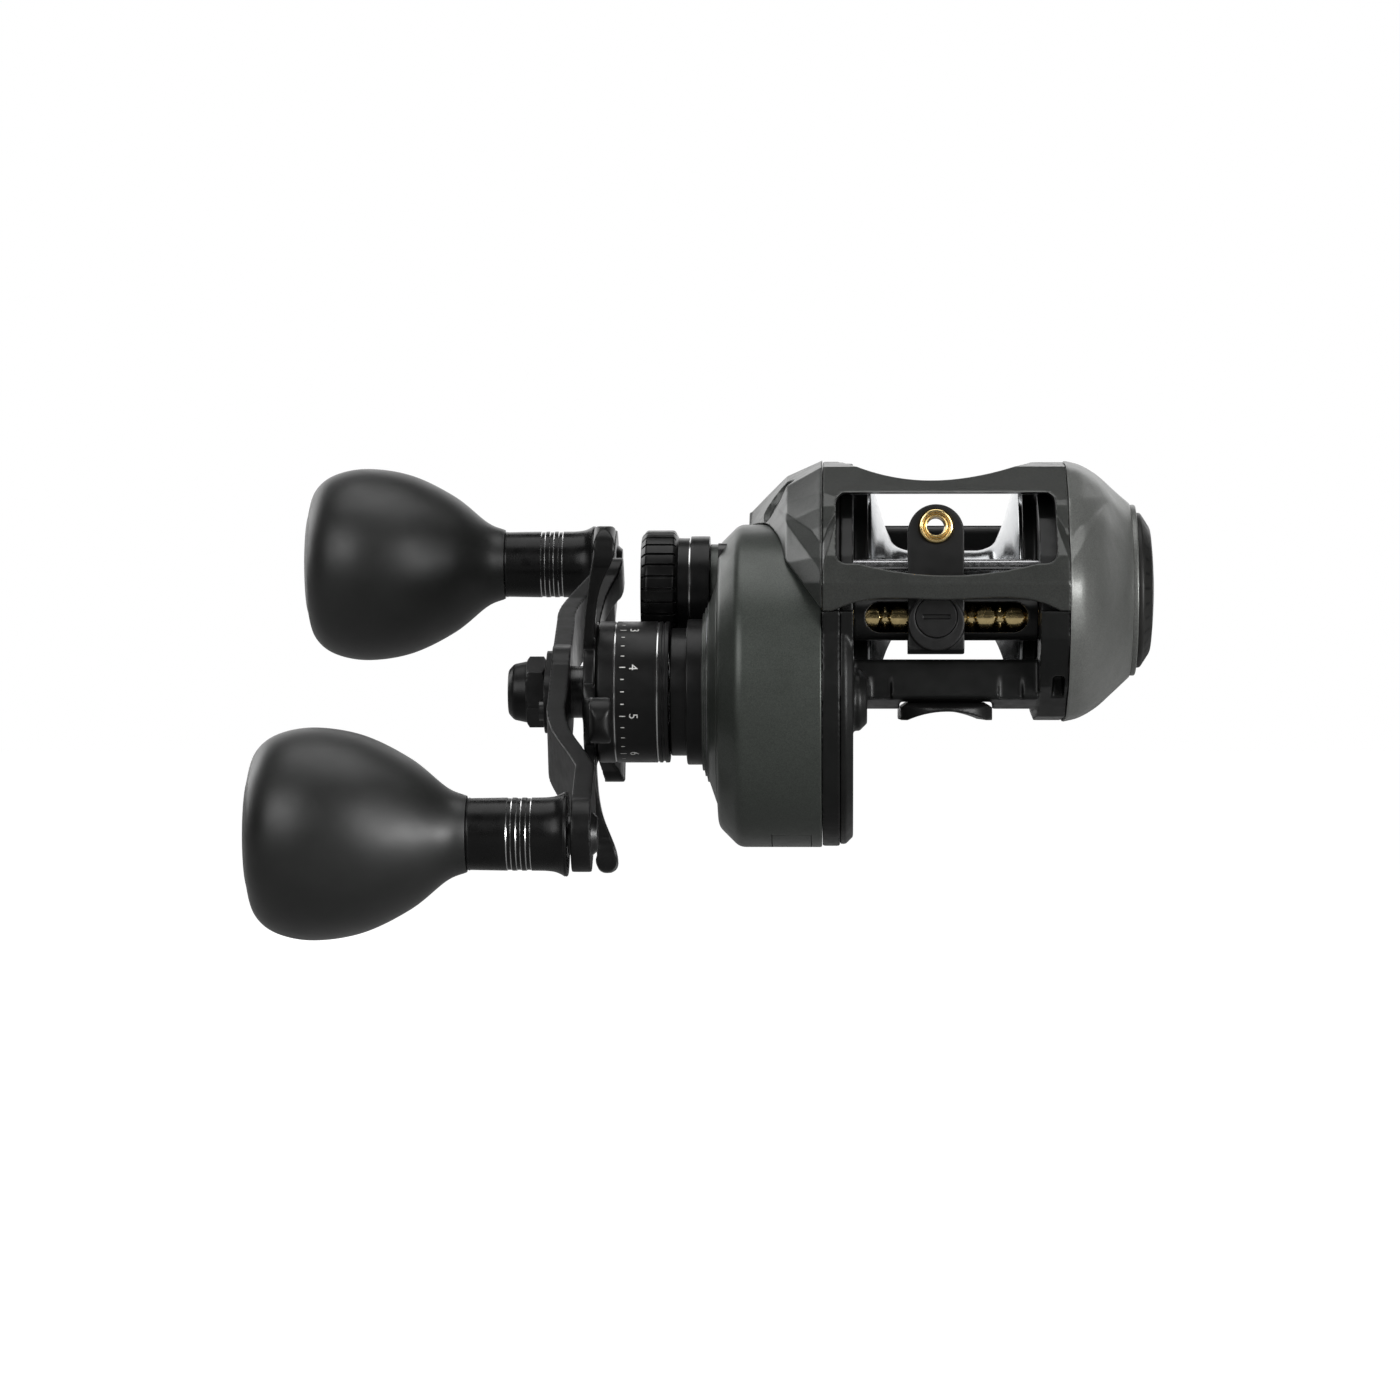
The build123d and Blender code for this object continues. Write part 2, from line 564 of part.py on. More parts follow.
def make_pinion():
    """Pinion with its journal, the groove for the yoke and the slot for the spool's pin."""
    facing_main = heading(SPOOL_AXIS, DRIVE_AXIS)
    pinion = gear(-31, -21.6, PINION_TEETH, SPOOL_AXIS, facing_main + 180 / PINION_TEETH, 1.6)
    pinion += rod(-36, -31, 2.5, SPOOL_AXIS, 1.6) + rod(-21.6, -20, 2.4, SPOOL_AXIS, 1.6)
    pinion += rod(-20, -17.2, 3.2, SPOOL_AXIS, 1.6)
    pinion -= box((-18.7, -17), (SPOOL_AXIS[0] - 0.68, SPOOL_AXIS[0] + 0.68), (SPOOL_AXIS[1] - 5, SPOOL_AXIS[1] + 5))
    return pinion


def make_yoke():
    """Clutch yoke: a bar across the pinion's groove, guided by two posts."""
    bar = SlotOverall(2 * SPRING_REACH + 4.4, 4.4) + Circle(4.7)
    bar -= Circle(2.4 + 2 * RUNNING) + Pos(0, 4) * Rectangle(4.9, 8)
    for side in (-1, 1):
        bar -= Pos(side * SPRING_REACH, 0) * Circle(1.1 + RUNNING)
    return slab(Pos(*SPOOL_AXIS) * Rot(Z=CLUTCH_LINE) * bar, -21.5, -20.1)


def make_yoke_springs():
    return [coil(SPRING_SEAT, -21.55, 6, 1.6, 0.25, at) for at in SPRING_POSTS]


def make_clutch_cam():
    """Ring that turns about the pinion and lifts the yoke, with an arm towards the thumb bar."""
    ring = Circle(7.3) + Rot(Z=6) * Pos(13.6, 0) * Rectangle(16.7, 3.0)
    return slab(Pos(*SPOOL_AXIS) * (ring - Circle(4.2)), -19.6, -18.2)


def make_thumb_bar():
    """Thumb bar between the plates, with a lug into each."""
    section = polygon([(20.6, 31.8), (23.5, 32.6), (29.2, 30.6), (29.6, 28.4), (24.6, 27.6), (21.8, 28.6)], 0.6)
    bar = slab(section, LEFT_IN + 0.3, RIGHT_IN - 0.3)
    bar += box((-18.6, 16.3), LUG_Y, LUG_Z)
    bar -= box((-12, 12), (20, 25), (24, 27.4))
    for k in range(5):
        bar -= box((-11, 11), (22.6 + 1.2 * k, 23.1 + 1.2 * k), (31.9 - 0.36 * k, 34))
    return bar


def make_main_gear():
    """Main gear, recessed on its outer side for the drag washers."""
    towards = heading(DRIVE_AXIS, SPOOL_AXIS)
    wheel = gear(-27, -23, MAIN_TEETH, DRIVE_AXIS, towards, 3.6)
    return wheel - rod(-28, -24.2, 15.5, DRIVE_AXIS)


def drag_stack(first, bore):
    """Every other washer of the drag stack, from the one numbered first."""
    thick = 3.0 / 5
    stack = []
    for k in range(first, 5, 2):
        near = -24.2 - thick * k
        stack.append(rod(near - thick, near, 15.2, DRIVE_AXIS, bore))
    return stack


def make_ratchet():
    """Anti-reverse ratchet wheel with slanted teeth."""
    face = Circle(7)
    for k in range(12):
        face += Rot(Z=30 * k) * polygon([(6, -2.6), (8.2, 0.2), (6.2, 1.4)])
    return slab(Pos(*DRIVE_AXIS) * (face - Circle(3.5)), -21.2, -20)


def make_drive_shaft():
    """Drive shaft with a flange behind the main gear and flats at the crank end."""
    shaft = rod(-66.5, -28.4, SHAFT_R, DRIVE_AXIS) + rod(-28.4, -17, 3.5, DRIVE_AXIS)
    shaft += rod(-22.9, -21.2, 5.5, DRIVE_AXIS) + rod(-17, -15.05, 2.5, DRIVE_AXIS)
    return shaft


def make_worm_gear():
    towards = heading(WORM_AXIS, DRIVE_AXIS)
    return gear(-19.4, BASE_FLOOR - 0.1, WORM_GEAR_TEETH, WORM_AXIS, towards + 180 / WORM_GEAR_TEETH, 1.5)


def make_cog():
    towards = heading(DRIVE_AXIS, WORM_AXIS)
    cog = gear(-19.4, BASE_FLOOR - 0.1, COG_TEETH, DRIVE_AXIS, towards, 3.5)
    for k in range(5):
        cog -= rod(-20, -17, 1.4, polar(DRIVE_AXIS, 6.6, 72 * k))
    return cog


def make_roller_clutch():
    """One-way roller clutch: outer race, cage and eight rollers."""
    race = rod(-42.5, -37, 8.0, DRIVE_AXIS, 7.0)
    cage = rod(-42.3, -41.5, 7.0, DRIVE_AXIS, 5.1) + rod(-38, -37.2, 7.0, DRIVE_AXIS, 5.1)
    clutch = race + cage
    for k in range(8):
        clutch += rod(-41.6, -37.9, 0.92, polar(DRIVE_AXIS, 6.05, 45 * k))
    return clutch


# ---------------------------------------------------------------- level wind


def make_worm_shaft():
    """Worm with a helical groove between two journals."""
    shaft = rod(-19.6, 16.6, 1.5, WORM_AXIS) + rod(-13, 13, WORM_R, WORM_AXIS)
    length = 24.0
    path = Helix(pitch=WORM_PITCH, height=length, radius=WORM_R)
    groove = sweep(Plane(origin=path @ 0, z_dir=path % 0) * Circle(0.55), path=path)
    return shaft - Pos(-length / 2, *WORM_AXIS) * Rot(Y=90) * groove


def make_worm_tube():
    """Fixed tube round the worm, slotted at the front for the pawl."""
    tube = rod(LEFT_IN + 0.1, RIGHT_IN - 0.1, TUBE_R, WORM_AXIS, TUBE_BORE)
    slot = front_block(Pos(0, WORM_Z) * SlotOverall(25.8, 4.8), WORM_AXIS[0] - 6, WORM_AXIS[0])
    return tube - slot


def make_worm_bushings():
    left = rod(LEFT_OUT, LEFT_IN - 0.05, 3.0, WORM_AXIS, 1.5 + RUNNING)
    return [left, rod(RIGHT_IN + 0.05, 16.8, 3.0, WORM_AXIS, 1.5 + RUNNING)]


def make_line_guide():
    """Line guide: a carriage round the worm tube, an arched arm and a boss for the pawl."""
    y0, y1 = GUIDE_Y
    arm = Pos(GUIDE_X, ARCH_Z) * Circle(GUIDE_HALF) + Pos(GUIDE_X, (ARCH_Z + 15) / 2) * Rectangle(
        2 * GUIDE_HALF, ARCH_Z - 15
    )
    body = front_block(arm, y0, y1)
    yoke = polygon([(-29.2, 11.2), (-28.2, 10.5), (-20.0, 10.5), (-19.4, 11.2), (-19.4, 19.6), (-29.2, 19.6)])
    body += slab(yoke, GUIDE_X - GUIDE_HALF, GUIDE_X + GUIDE_HALF)
    body += front_block(Pos(GUIDE_X, WORM_Z - 0.9) * Circle(GUIDE_HALF), -30.4, -28)
    body -= rod(-20, 20, TUBE_R + 2 * RUNNING, WORM_AXIS)
    body -= rod(-20, 20, ROD_R + 2 * RUNNING, ROD_AXIS)
    body -= front_block(Pos(GUIDE_X, WORM_Z) * Circle(1.5 + RUNNING), -32, -26)
    body -= front_block(Pos(GUIDE_X, WORM_Z) * Circle(3.3), -32, -29.4)
    body -= front_block(Pos(GUIDE_X, RING_Z) * Circle(2.1), -30, -18)
    body -= front_block(Pos(GUIDE_X, RING_Z) * Circle(2.7), -30, y0 + 0.8)
    return body


def make_guide_insert():
    """Smooth flared ring that the line runs through."""
    y0, y1 = GUIDE_Y
    edges = [
        Line((y0 - 0.9, 2.1), (y0 - 0.9, 2.35)),
        ThreePointArc((y0 - 0.9, 2.35), (y0 - 0.72, 2.6), (y0 - 0.4, 2.7)),
        Polyline((y0 - 0.4, 2.7), (y0 + 0.8, 2.7), (y0 + 0.8, 2.1), (y1 + 0.4, 2.1), (y1 + 0.4, 1.75)),
        ThreePointArc((y1 + 0.4, 1.75), (y1, 1.42), (y1 - 0.8, 1.35)),
        Line((y1 - 0.8, 1.35), (y0 + 0.2, 1.35)),
        ThreePointArc((y0 + 0.2, 1.35), (y0 - 0.55, 1.6), (y0 - 0.9, 2.1)),
    ]
    ring = revolve(make_face([edge for wire in edges for edge in wire.edges()]), axis=Axis.X)
    return Pos(GUIDE_X, 0, RING_Z) * Rot(Z=90) * ring


def make_pawl():
    """Pawl that rides in the worm's groove."""
    front = WORM_AXIS[0] - WORM_R - 0.1
    return front_block(Pos(GUIDE_X, WORM_Z) * Circle(1.5), -29.3, front)


def make_pawl_cap():
    """Screwed cap that keeps the pawl in its bore."""
    cap = front_block(Pos(GUIDE_X, WORM_Z) * Circle(3.25), -30.5, -29.4)
    return cap - box((GUIDE_X - 2.2, GUIDE_X + 2.2), (-31, -30.1), (WORM_Z - 0.35, WORM_Z + 0.35))


# ---------------------------------------------------------------- crank, star and cast cap


def crank_face(radial):
    """Maps a shape drawn with +Z along the crank's front arm to the crank's true angle."""
    return Pos(0, *DRIVE_AXIS) * Rot(X=90 + CRANK_ANGLE) * radial


def blade_profile(thick):
    """Side view of the swept blade in X and reach, mirrored about the shaft."""
    run = [(0, BLADE_MID), (15, BLADE_MID), (23, BLADE_MID + 0.9), (30, -59.9), (36, BLADE_END), (60, BLADE_END)]
    outer = [(x, reach) for reach, x in run]
    inner = [(x + thick, reach) for x, reach in outer]
    side = [
        Line(outer[0], outer[1]), Spline(*outer[1:5]), Line(outer[4], outer[5]), Line(outer[5], inner[5]),
        Line(inner[5], inner[4]), Spline(*inner[4:0:-1]), Line(inner[1], inner[0]), Line(inner[0], outer[0]),
    ]  # fmt: skip
    half = make_face(side)
    return half + mirror(half, about=Plane.XZ)


def make_handle_arm():
    """Swept double handle: wide at the shaft, waisted, and rounded at both knobs."""
    blade = extrude(Plane(origin=(0, -10, 0), x_dir=(1, 0, 0), z_dir=(0, -1, 0)) * blade_profile(BLADE_THICK), amount=-20)
    plan = Circle(7.6)
    for side in (-1, 1):
        plan += Pos(0, side * CRANK_R) * Circle(5.8)
        arm = polygon([(-7.0, 0), (7.0, 0), (5.4, side * 24), (5.7, side * CRANK_R), (-5.7, side * CRANK_R),
                       (-5.4, side * 24)])  # fmt: skip
        plan += arm
    blade = blade & slab(plan, -70, -50)
    blade -= rod(-70, -50, SHAFT_R, (0, 0)) + rod(-70, -61.4, LOCK_SCREW[2], LOCK_SCREW[:2])
    for side in (-1, 1):
        blade -= rod(-70, -50, KNOB_PIN_R, (0, side * CRANK_R))
    return crank_face(blade)


def make_handle_nut():
    """Handle nut: hexagon, collar and tapered nose."""
    hexagon = slab(RegularPolygon(NUT_FLATS / 2, 6, major_radius=False), -67.4, -64.4)
    nose = turned([(-67.4, 0), (-67.4, 4.9), (-69.6, 4.5), (-70.4, 3.6), (-70.4, 0)], (0, 0))
    nut = hexagon + nose - rod(-66.6, -60, SHAFT_R, (0, 0))
    return crank_face(nut)


def make_lock_plate():
    """Washer plate under the handle nut, with a tab for its lock screw."""
    plan = SlotOverall(17.4, 10.0, rotation=90) - Circle(SHAFT_R)
    plan -= Pos(*LOCK_SCREW[:2]) * Circle(LOCK_SCREW[2])
    return crank_face(slab(plan, -64.35, BLADE_MID))


def make_lock_screw():
    return crank_face(socket_screw(-65.1, -61.4, 0.75, 1.6, LOCK_SCREW[2], LOCK_SCREW[:2], 0.8))


def make_spacer():
    return rod(-60.2, -58.2, 4.2, DRIVE_AXIS, SHAFT_R)


def knob_spots():
    """Axes of the two knobs, front one first."""
    front = 180 + CRANK_ANGLE
    return [polar(DRIVE_AXIS, CRANK_R, front), polar(DRIVE_AXIS, CRANK_R, front - 180)]


def make_knob_pin(at):
    """Knob shaft riveted through the blade."""
    inner = BLADE_END + BLADE_THICK
    pin = rod(-87, inner, KNOB_PIN_R, at) + turned([(inner, 0), (inner, 3.4), (inner + 0.9, 2.6), (inner + 0.9, 0)], at)
    pin += rod(BLADE_END - 0.5, BLADE_END, 3.2, at)
    return pin - rod(-88, -82, 1.0, at)


def make_knob_screw(at):
    return socket_screw(-88.4, -82.1, 1.35, 3.0, 1.0, at, 1.4)


def make_knob_bearings(at):
    return [bearing(x0, x0 + 2.4, 4.0, KNOB_PIN_R + RUNNING / 2, at) for x0 in (-61.4, -84.2)]


def make_ferrule(at):
    """Metal neck of a knob: flared foot, three turned rings and a narrow seam bead."""
    flare = -4.0
    edges = [
        Polyline((KNOB_BASE, 3.6), (KNOB_BASE, 6.4), (KNOB_BASE - 0.5, 6.55)),
        ThreePointArc((KNOB_BASE - 0.5, 6.55), (KNOB_BASE - 1.7, 5.85), (KNOB_BASE + flare, 5.6)),
        Polyline((KNOB_BASE + flare, 5.6), (KNOB_SEAM + 0.1, 5.6), (KNOB_SEAM + 0.1, 3.6), (KNOB_BASE, 3.6)),
    ]
    neck = turned([edge for wire in edges for edge in wire.edges()], at)
    for k in range(6):
        start = KNOB_BASE - 6.7 - 0.8 * k - 0.25 * (k // 2)
        neck -= rod(start - 0.25, start, 7, at, 5.42)
    return neck - rod(-61.5, -57, 4.0, at)


def make_grip(at):
    """Large smooth power grip, hollow for its bearing and shaft."""

    def reach(along, radius):
        return (KNOB_TIP + along, radius)

    seam = KNOB_SEAM - KNOB_TIP
    edges = [
        Line(reach(0, 0), reach(0, 8.5)),
        Spline(
            reach(0, 8.5), reach(1.3, 12.7), reach(4.6, 15.3), reach(10.3, 16.3), reach(17.7, 15.1),
            reach(25, 11.5), reach(30.4, 7.2), reach(seam, 5.86),
            tangents=[(0.12, 1), (1, -0.1)],
        ),
        Polyline(reach(seam, 5.86), reach(seam, 0), reach(0, 0)),
    ]  # fmt: skip
    grip = turned([edge for wire in edges for edge in wire.edges()], at)
    return grip - rod(-84.3, -70, 4.0, at) - rod(-90, -84, 3.5, at)


def star_arm_profile():
    """Side view of one star arm in X and reach, bowed towards the reel and club-shaped at its tip."""
    outer = [(-58.2, 7), (-57.7, 14), (-56.8, 21), (-55.8, STAR_R - 2.6)]
    inner = [(-52.6, STAR_R - 1.8), (-52.9, STAR_R - 3.8), (-54.7, 21), (-56.0, 14), (-56.3, 7)]
    tip = ThreePointArc(outer[-1], (-54.4, STAR_R), inner[0])
    edges = [Spline(*outer), tip, Spline(*inner), Line(inner[-1], outer[0])]
    return make_face([edge for wire in edges for edge in wire.edges()])


def make_star_drag():
    """Star wheel: hub, five bowed arms and the long collar round the drag springs."""
    star = rod(-58.0, -56, 9.6, DRIVE_AXIS)
    bow = extrude(facing(-4) * star_arm_profile(), amount=-8)
    paddle = Pos(0, STAR_R - 3.6) * Circle(3.6) + polygon([(-3.4, 4), (3.4, 4), (2.1, 17), (3.2, 25), (-3.2, 25), (-2.1, 17)])
    arm = bow & slab(paddle, -60, -50)
    for k in range(STAR_ARMS):
        star += Pos(0, *DRIVE_AXIS) * Rot(X=STAR_FIRST_ANGLE - 90 + 360 * k / STAR_ARMS) * arm
    star += rod(-56, -44.3, COLLAR_R, DRIVE_AXIS) - rod(-54.5, -44, 10.2, DRIVE_AXIS)
    star += rod(-54.5, -50.1, 6.0, DRIVE_AXIS)
    star -= rod(-60, -50, SHAFT_R + 2 * RUNNING, DRIVE_AXIS)
    for x in (-52.9, -46.1):
        star -= rod(x - 0.2, x + 0.2, 12, DRIVE_AXIS, COLLAR_R - 0.15)
    return chamfer(star.edges().filter_by(GeomType.CIRCLE).sort_by(Axis.X)[-1], 0.3)


def make_star_nut():
    """Hexagon nut on the drive shaft that the star turns."""
    hexagon = Pos(*DRIVE_AXIS) * RegularPolygon(5.6, 6, major_radius=False)
    return slab(hexagon, -50, -47.2) - rod(-51, -47, SHAFT_R, DRIVE_AXIS)


def make_drag_springs():
    """Two pairs of cupped spring washers."""
    springs = []
    for k in range(4):
        near = -44.45 - 0.66 * k
        rim, eye = (near, near - 0.25) if k % 2 else (near - 0.25, near)
        section = [(eye, 3.1), (rim, 7.4), (rim - 0.4, 7.4), (eye - 0.4, 3.1)]
        springs.append(turned(section, DRIVE_AXIS))
    return springs


def make_cast_cap():
    """Knurled cast-control cap on its threaded stub."""
    ribs = Circle(9.8)
    for k in range(26):
        ribs -= Pos(*polar((0, 0), 10.05, 360 * k / 26)) * Circle(0.62)
    cap = slab(Pos(*SPOOL_AXIS) * ribs, -49.4, -43.4)
    cap = cap & turned([(-49.4, 0), (-49.4, 8.9), (-48.6, 9.9), (-44, 9.9), (-43.4, 9.3), (-43.4, 0)], SPOOL_AXIS)
    cap += rod(-43.4, -40.7, 8.6, SPOOL_AXIS) + rod(-40.7, -38.2, 8.95, SPOOL_AXIS)
    cap -= rod(-41.6, -41.4, 12, SPOOL_AXIS, 8.35)
    cap -= rod(-47.6, -38, 6.2 + RUNNING, SPOOL_AXIS)
    return cap


# ---------------------------------------------------------------- all parts

os.makedirs("parts", exist_ok=True)

save("reel_foot", make_foot())
save("foot_screws", *make_foot_screws())
save("frame", make_frame())
save("gear_side_base", make_gear_side_base())
save("gear_cover", make_gear_cover())
save("gear_cover_screws", *make_cover_screws())
save("service_panel", panel_sector(HOUSING_R, HOUSING_R - 0.75, 0.1))
save("shoulder_cover", make_shoulder_cover())
save("nose_cover", make_nose_cover())
save("worm_tube", make_worm_tube())
save("worm_bushings", *make_worm_bushings())
save("guide_rod", rod(-16.6, 16.6, ROD_R, ROD_AXIS))
save("drive_bearing", bearing(LEFT_OUT - 0.05, -15.05, 5.0, 2.5, DRIVE_AXIS))
save("pinion_bearing", bearing(-36.45, -33.4, 4.0, 2.5, SPOOL_AXIS))
save("spool_end_bearing", bearing(-41.0, -38.05, 4.0, 1.5, SPOOL_AXIS))
save("roller_clutch", make_roller_clutch())

save("palm_plate", make_palm_plate())
save("palm_bearing", bearing(19.6, 23.55, 5.0, 1.5 + RUNNING, SPOOL_AXIS))
save("brake_dial", make_brake_dial())
save("magnet_carrier", make_magnet_carrier())
save("brake_magnets", *make_magnets())

save("spool", make_spool())
save("spool_shaft", make_spool_shaft())
save("brake_rotor", make_brake_rotor())

save("pinion", make_pinion())
save("pinion_yoke", make_yoke())
save("yoke_springs", *make_yoke_springs())
save("clutch_cam", make_clutch_cam())
save("thumb_bar", make_thumb_bar())

save("worm_shaft", make_worm_shaft())
save("worm_gear", make_worm_gear())
save("line_guide", make_line_guide())
save("guide_insert", make_guide_insert())
save("pawl", make_pawl())
save("pawl_cap", make_pawl_cap())

save("drive_shaft", make_drive_shaft())
save("main_gear", make_main_gear())
save("drag_discs", *drag_stack(0, 3.6))
save("drag_plates", *drag_stack(1, 3.5))
save("pressure_plate", rod(-28.4, -27.2, 14.0, DRIVE_AXIS, 3.5))
save("roller_sleeve", rod(-44.4, -28.4, 5.0, DRIVE_AXIS, SHAFT_R))
save("level_wind_cog", make_cog())
save("ratchet", make_ratchet())
save("handle_spacer", make_spacer())
save("handle_arm", make_handle_arm())
save("nut_lock_plate", make_lock_plate())
save("handle_nut", make_handle_nut())
save("knob_shafts", *[make_knob_pin(at) for at in knob_spots()])
save("crank_screws", make_lock_screw(), *[make_knob_screw(at) for at in knob_spots()])
for side, at in zip(("front", "rear"), knob_spots()):
    save(f"{side}_knob_grip", make_grip(at))
    save(f"{side}_knob_ferrule", make_ferrule(at))
    save(f"{side}_knob_bearings", *make_knob_bearings(at))

save("star_drag", make_star_drag())
save("star_nut", make_star_nut())
save("drag_springs", *make_drag_springs())
save("cast_cap", make_cast_cap())
save("cap_shim", rod(-47.55, -47.0, 3.0, SPOOL_AXIS))
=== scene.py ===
import json
from math import atan2, cos, pi, radians, sin, sqrt, tau

import bmesh
import bpy
from mathutils import Matrix, Vector


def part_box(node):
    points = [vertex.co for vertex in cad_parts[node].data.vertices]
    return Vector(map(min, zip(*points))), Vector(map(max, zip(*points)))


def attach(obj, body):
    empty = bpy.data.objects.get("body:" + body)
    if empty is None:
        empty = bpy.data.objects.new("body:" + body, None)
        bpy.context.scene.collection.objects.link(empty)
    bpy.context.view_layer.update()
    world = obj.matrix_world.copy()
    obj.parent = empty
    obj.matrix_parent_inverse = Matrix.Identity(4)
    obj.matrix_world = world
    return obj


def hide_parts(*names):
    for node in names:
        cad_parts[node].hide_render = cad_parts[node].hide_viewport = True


# Looks of a low-profile baitcasting reel, built round its CAD frame.
# Lengths in this script are millimetres, and MM turns them into the frame's metres.

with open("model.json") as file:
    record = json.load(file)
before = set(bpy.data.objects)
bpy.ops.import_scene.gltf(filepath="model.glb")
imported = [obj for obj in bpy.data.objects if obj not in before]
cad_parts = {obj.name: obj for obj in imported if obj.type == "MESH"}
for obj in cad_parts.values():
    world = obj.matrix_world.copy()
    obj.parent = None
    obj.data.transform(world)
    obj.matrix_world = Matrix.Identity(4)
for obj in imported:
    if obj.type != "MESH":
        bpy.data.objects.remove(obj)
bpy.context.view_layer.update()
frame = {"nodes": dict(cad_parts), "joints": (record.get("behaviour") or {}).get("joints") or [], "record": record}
MM = 0.001
NODES = frame["nodes"]


# ---------------------------------------------------------------- places, read from the frame


def span(node):
    """Lowest and highest corner of a CAD node, in millimetres."""
    low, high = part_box(node)
    return low / MM, high / MM


def joint_axis(name):
    """The (y, z) place of a joint whose axis lies along X, in millimetres."""
    joint = next(j for j in frame["joints"] if j["name"] == name)
    return (joint["pos_m"][1] / MM, joint["pos_m"][2] / MM)


SPOOL = joint_axis("spool_spin")
DRIVE = joint_axis("crank_turn")
WORM = joint_axis("worm_spin")
FRONT_KNOB = joint_axis("front_knob_spin")
REAR_KNOB = joint_axis("rear_knob_spin")


# ---------------------------------------------------------------- materials


class Shader:
    """A node material in the making: a Principled shader and what feeds it."""

    def __init__(self, name):
        self.material = bpy.data.materials.new(name)
        self.material.use_nodes = True
        self.tree = self.material.node_tree
        self.shader = self.tree.nodes["Principled BSDF"]
        self.place = self.add("ShaderNodeTexCoord").outputs["Object"]

    def add(self, kind, **values):
        node = self.tree.nodes.new(kind)
        for key, value in values.items():
            setattr(node, key, value)
        return node

    def join(self, source, target):
        self.tree.links.new(source, target)

    def put(self, socket, value):
        """Links a socket, or sets its value."""
        if isinstance(value, bpy.types.NodeSocket):
            self.join(value, socket)
        else:
            socket.default_value = value

    def set(self, **values):
        """Inputs of the Principled shader, with _ for a space."""
        for key, value in values.items():
            self.put(self.shader.inputs[key.replace("_", " ")], value)

    def stretched(self, scale):
        """The object's own coordinates, scaled along each axis."""
        mapping = self.add("ShaderNodeMapping")
        mapping.inputs["Scale"].default_value = scale
        self.join(self.place, mapping.inputs["Vector"])
        return mapping.outputs["Vector"]

    def noise(self, grain, detail=3.0, place=None):
        """Noise whose features are about grain millimetres across."""
        noise = self.add("ShaderNodeTexNoise")
        noise.inputs["Scale"].default_value = 1 / (grain * MM)
        noise.inputs["Detail"].default_value = detail
        self.join(place or self.place, noise.inputs["Vector"])
        return noise.outputs["Fac"]

    def cells(self, grain):
        """Random brightness of cells about grain millimetres across."""
        cells = self.add("ShaderNodeTexVoronoi")
        cells.inputs["Scale"].default_value = 1 / (grain * MM)
        self.join(self.place, cells.inputs["Vector"])
        return cells.outputs["Color"]

    def math(self, operation, a, b=0.0):
        math = self.add("ShaderNodeMath", operation=operation)
        self.put(math.inputs[0], a)
        self.put(math.inputs[1], b)
        return math.outputs[0]

    def ranged(self, value, low, high, start=0.3, stop=0.7):
        """Maps a 0 to 1 value so that start gives low and stop gives high."""
        ranged = self.add("ShaderNodeMapRange")
        self.put(ranged.inputs["Value"], value)
        for key, number in (("From Min", start), ("From Max", stop), ("To Min", low), ("To Max", high)):
            self.put(ranged.inputs[key], number)
        return ranged.outputs["Result"]

    def mix(self, amount, a, b):
        """A colour between a and b."""
        mix = self.add("ShaderNodeMix", data_type="RGBA")
        self.put(mix.inputs[0], amount)
        self.put(mix.inputs[6], a)
        self.put(mix.inputs[7], b)
        return mix.outputs[2]

    def edges(self, width):
        """1 within about width millimetres of a sharp edge, else 0."""
        bevel = self.add("ShaderNodeBevel", samples=4)
        bevel.inputs["Radius"].default_value = width * MM
        true = self.add("ShaderNodeNewGeometry")
        dot = self.add("ShaderNodeVectorMath", operation="DOT_PRODUCT")
        self.join(bevel.outputs["Normal"], dot.inputs[0])
        self.join(true.outputs["Normal"], dot.inputs[1])
        return self.ranged(dot.outputs["Value"], 1.0, 0.0, 0.80, 0.99)

    def bump(self, *layers):
        """Stacks bumps, each (height socket, depth in millimetres)."""
        normal = None
        for height, depth in layers:
            bump = self.add("ShaderNodeBump")
            bump.inputs["Strength"].default_value = 1.0
            bump.inputs["Distance"].default_value = depth * MM
            self.join(height, bump.inputs["Height"])
            if normal:
                self.join(normal, bump.inputs["Normal"])
            normal = bump.outputs["Normal"]
        self.join(normal, self.shader.inputs["Normal"])


def rgb(red, green, blue):
    return (red, green, blue, 1.0)


def metallic_paint(name, colour, roughness=0.40, flake=0.5):
    """Satin metallic paint: fine flakes under a soft clear coat, slightly worn at the edges."""
    paint = Shader(name)
    flakes = paint.ranged(paint.cells(0.11), 1.0 - flake, 1.0 + flake, 0.0, 1.0)
    cloud = paint.ranged(paint.noise(9.0), 0.93, 1.07)
    tone = paint.math("MULTIPLY", flakes, cloud)
    dark = rgb(*(0.55 * c for c in colour))
    light = rgb(*(1.45 * c for c in colour))
    base = paint.mix(paint.ranged(tone, 0.0, 1.0, 0.3, 1.7), dark, light)
    worn = paint.math("MULTIPLY", paint.edges(0.22), paint.ranged(paint.noise(2.5), 0.0, 0.55))
    paint.set(Base_Color=paint.mix(worn, base, rgb(0.30, 0.30, 0.29)), Metallic=0.45)
    paint.set(Roughness=paint.ranged(paint.noise(3.0), roughness - 0.03, roughness + 0.05))
    paint.set(Coat_Weight=0.18, Coat_Roughness=0.22)
    paint.bump((paint.noise(0.35, 2.0), 0.004), (paint.noise(6.0, 1.0), 0.03))
    return paint.material


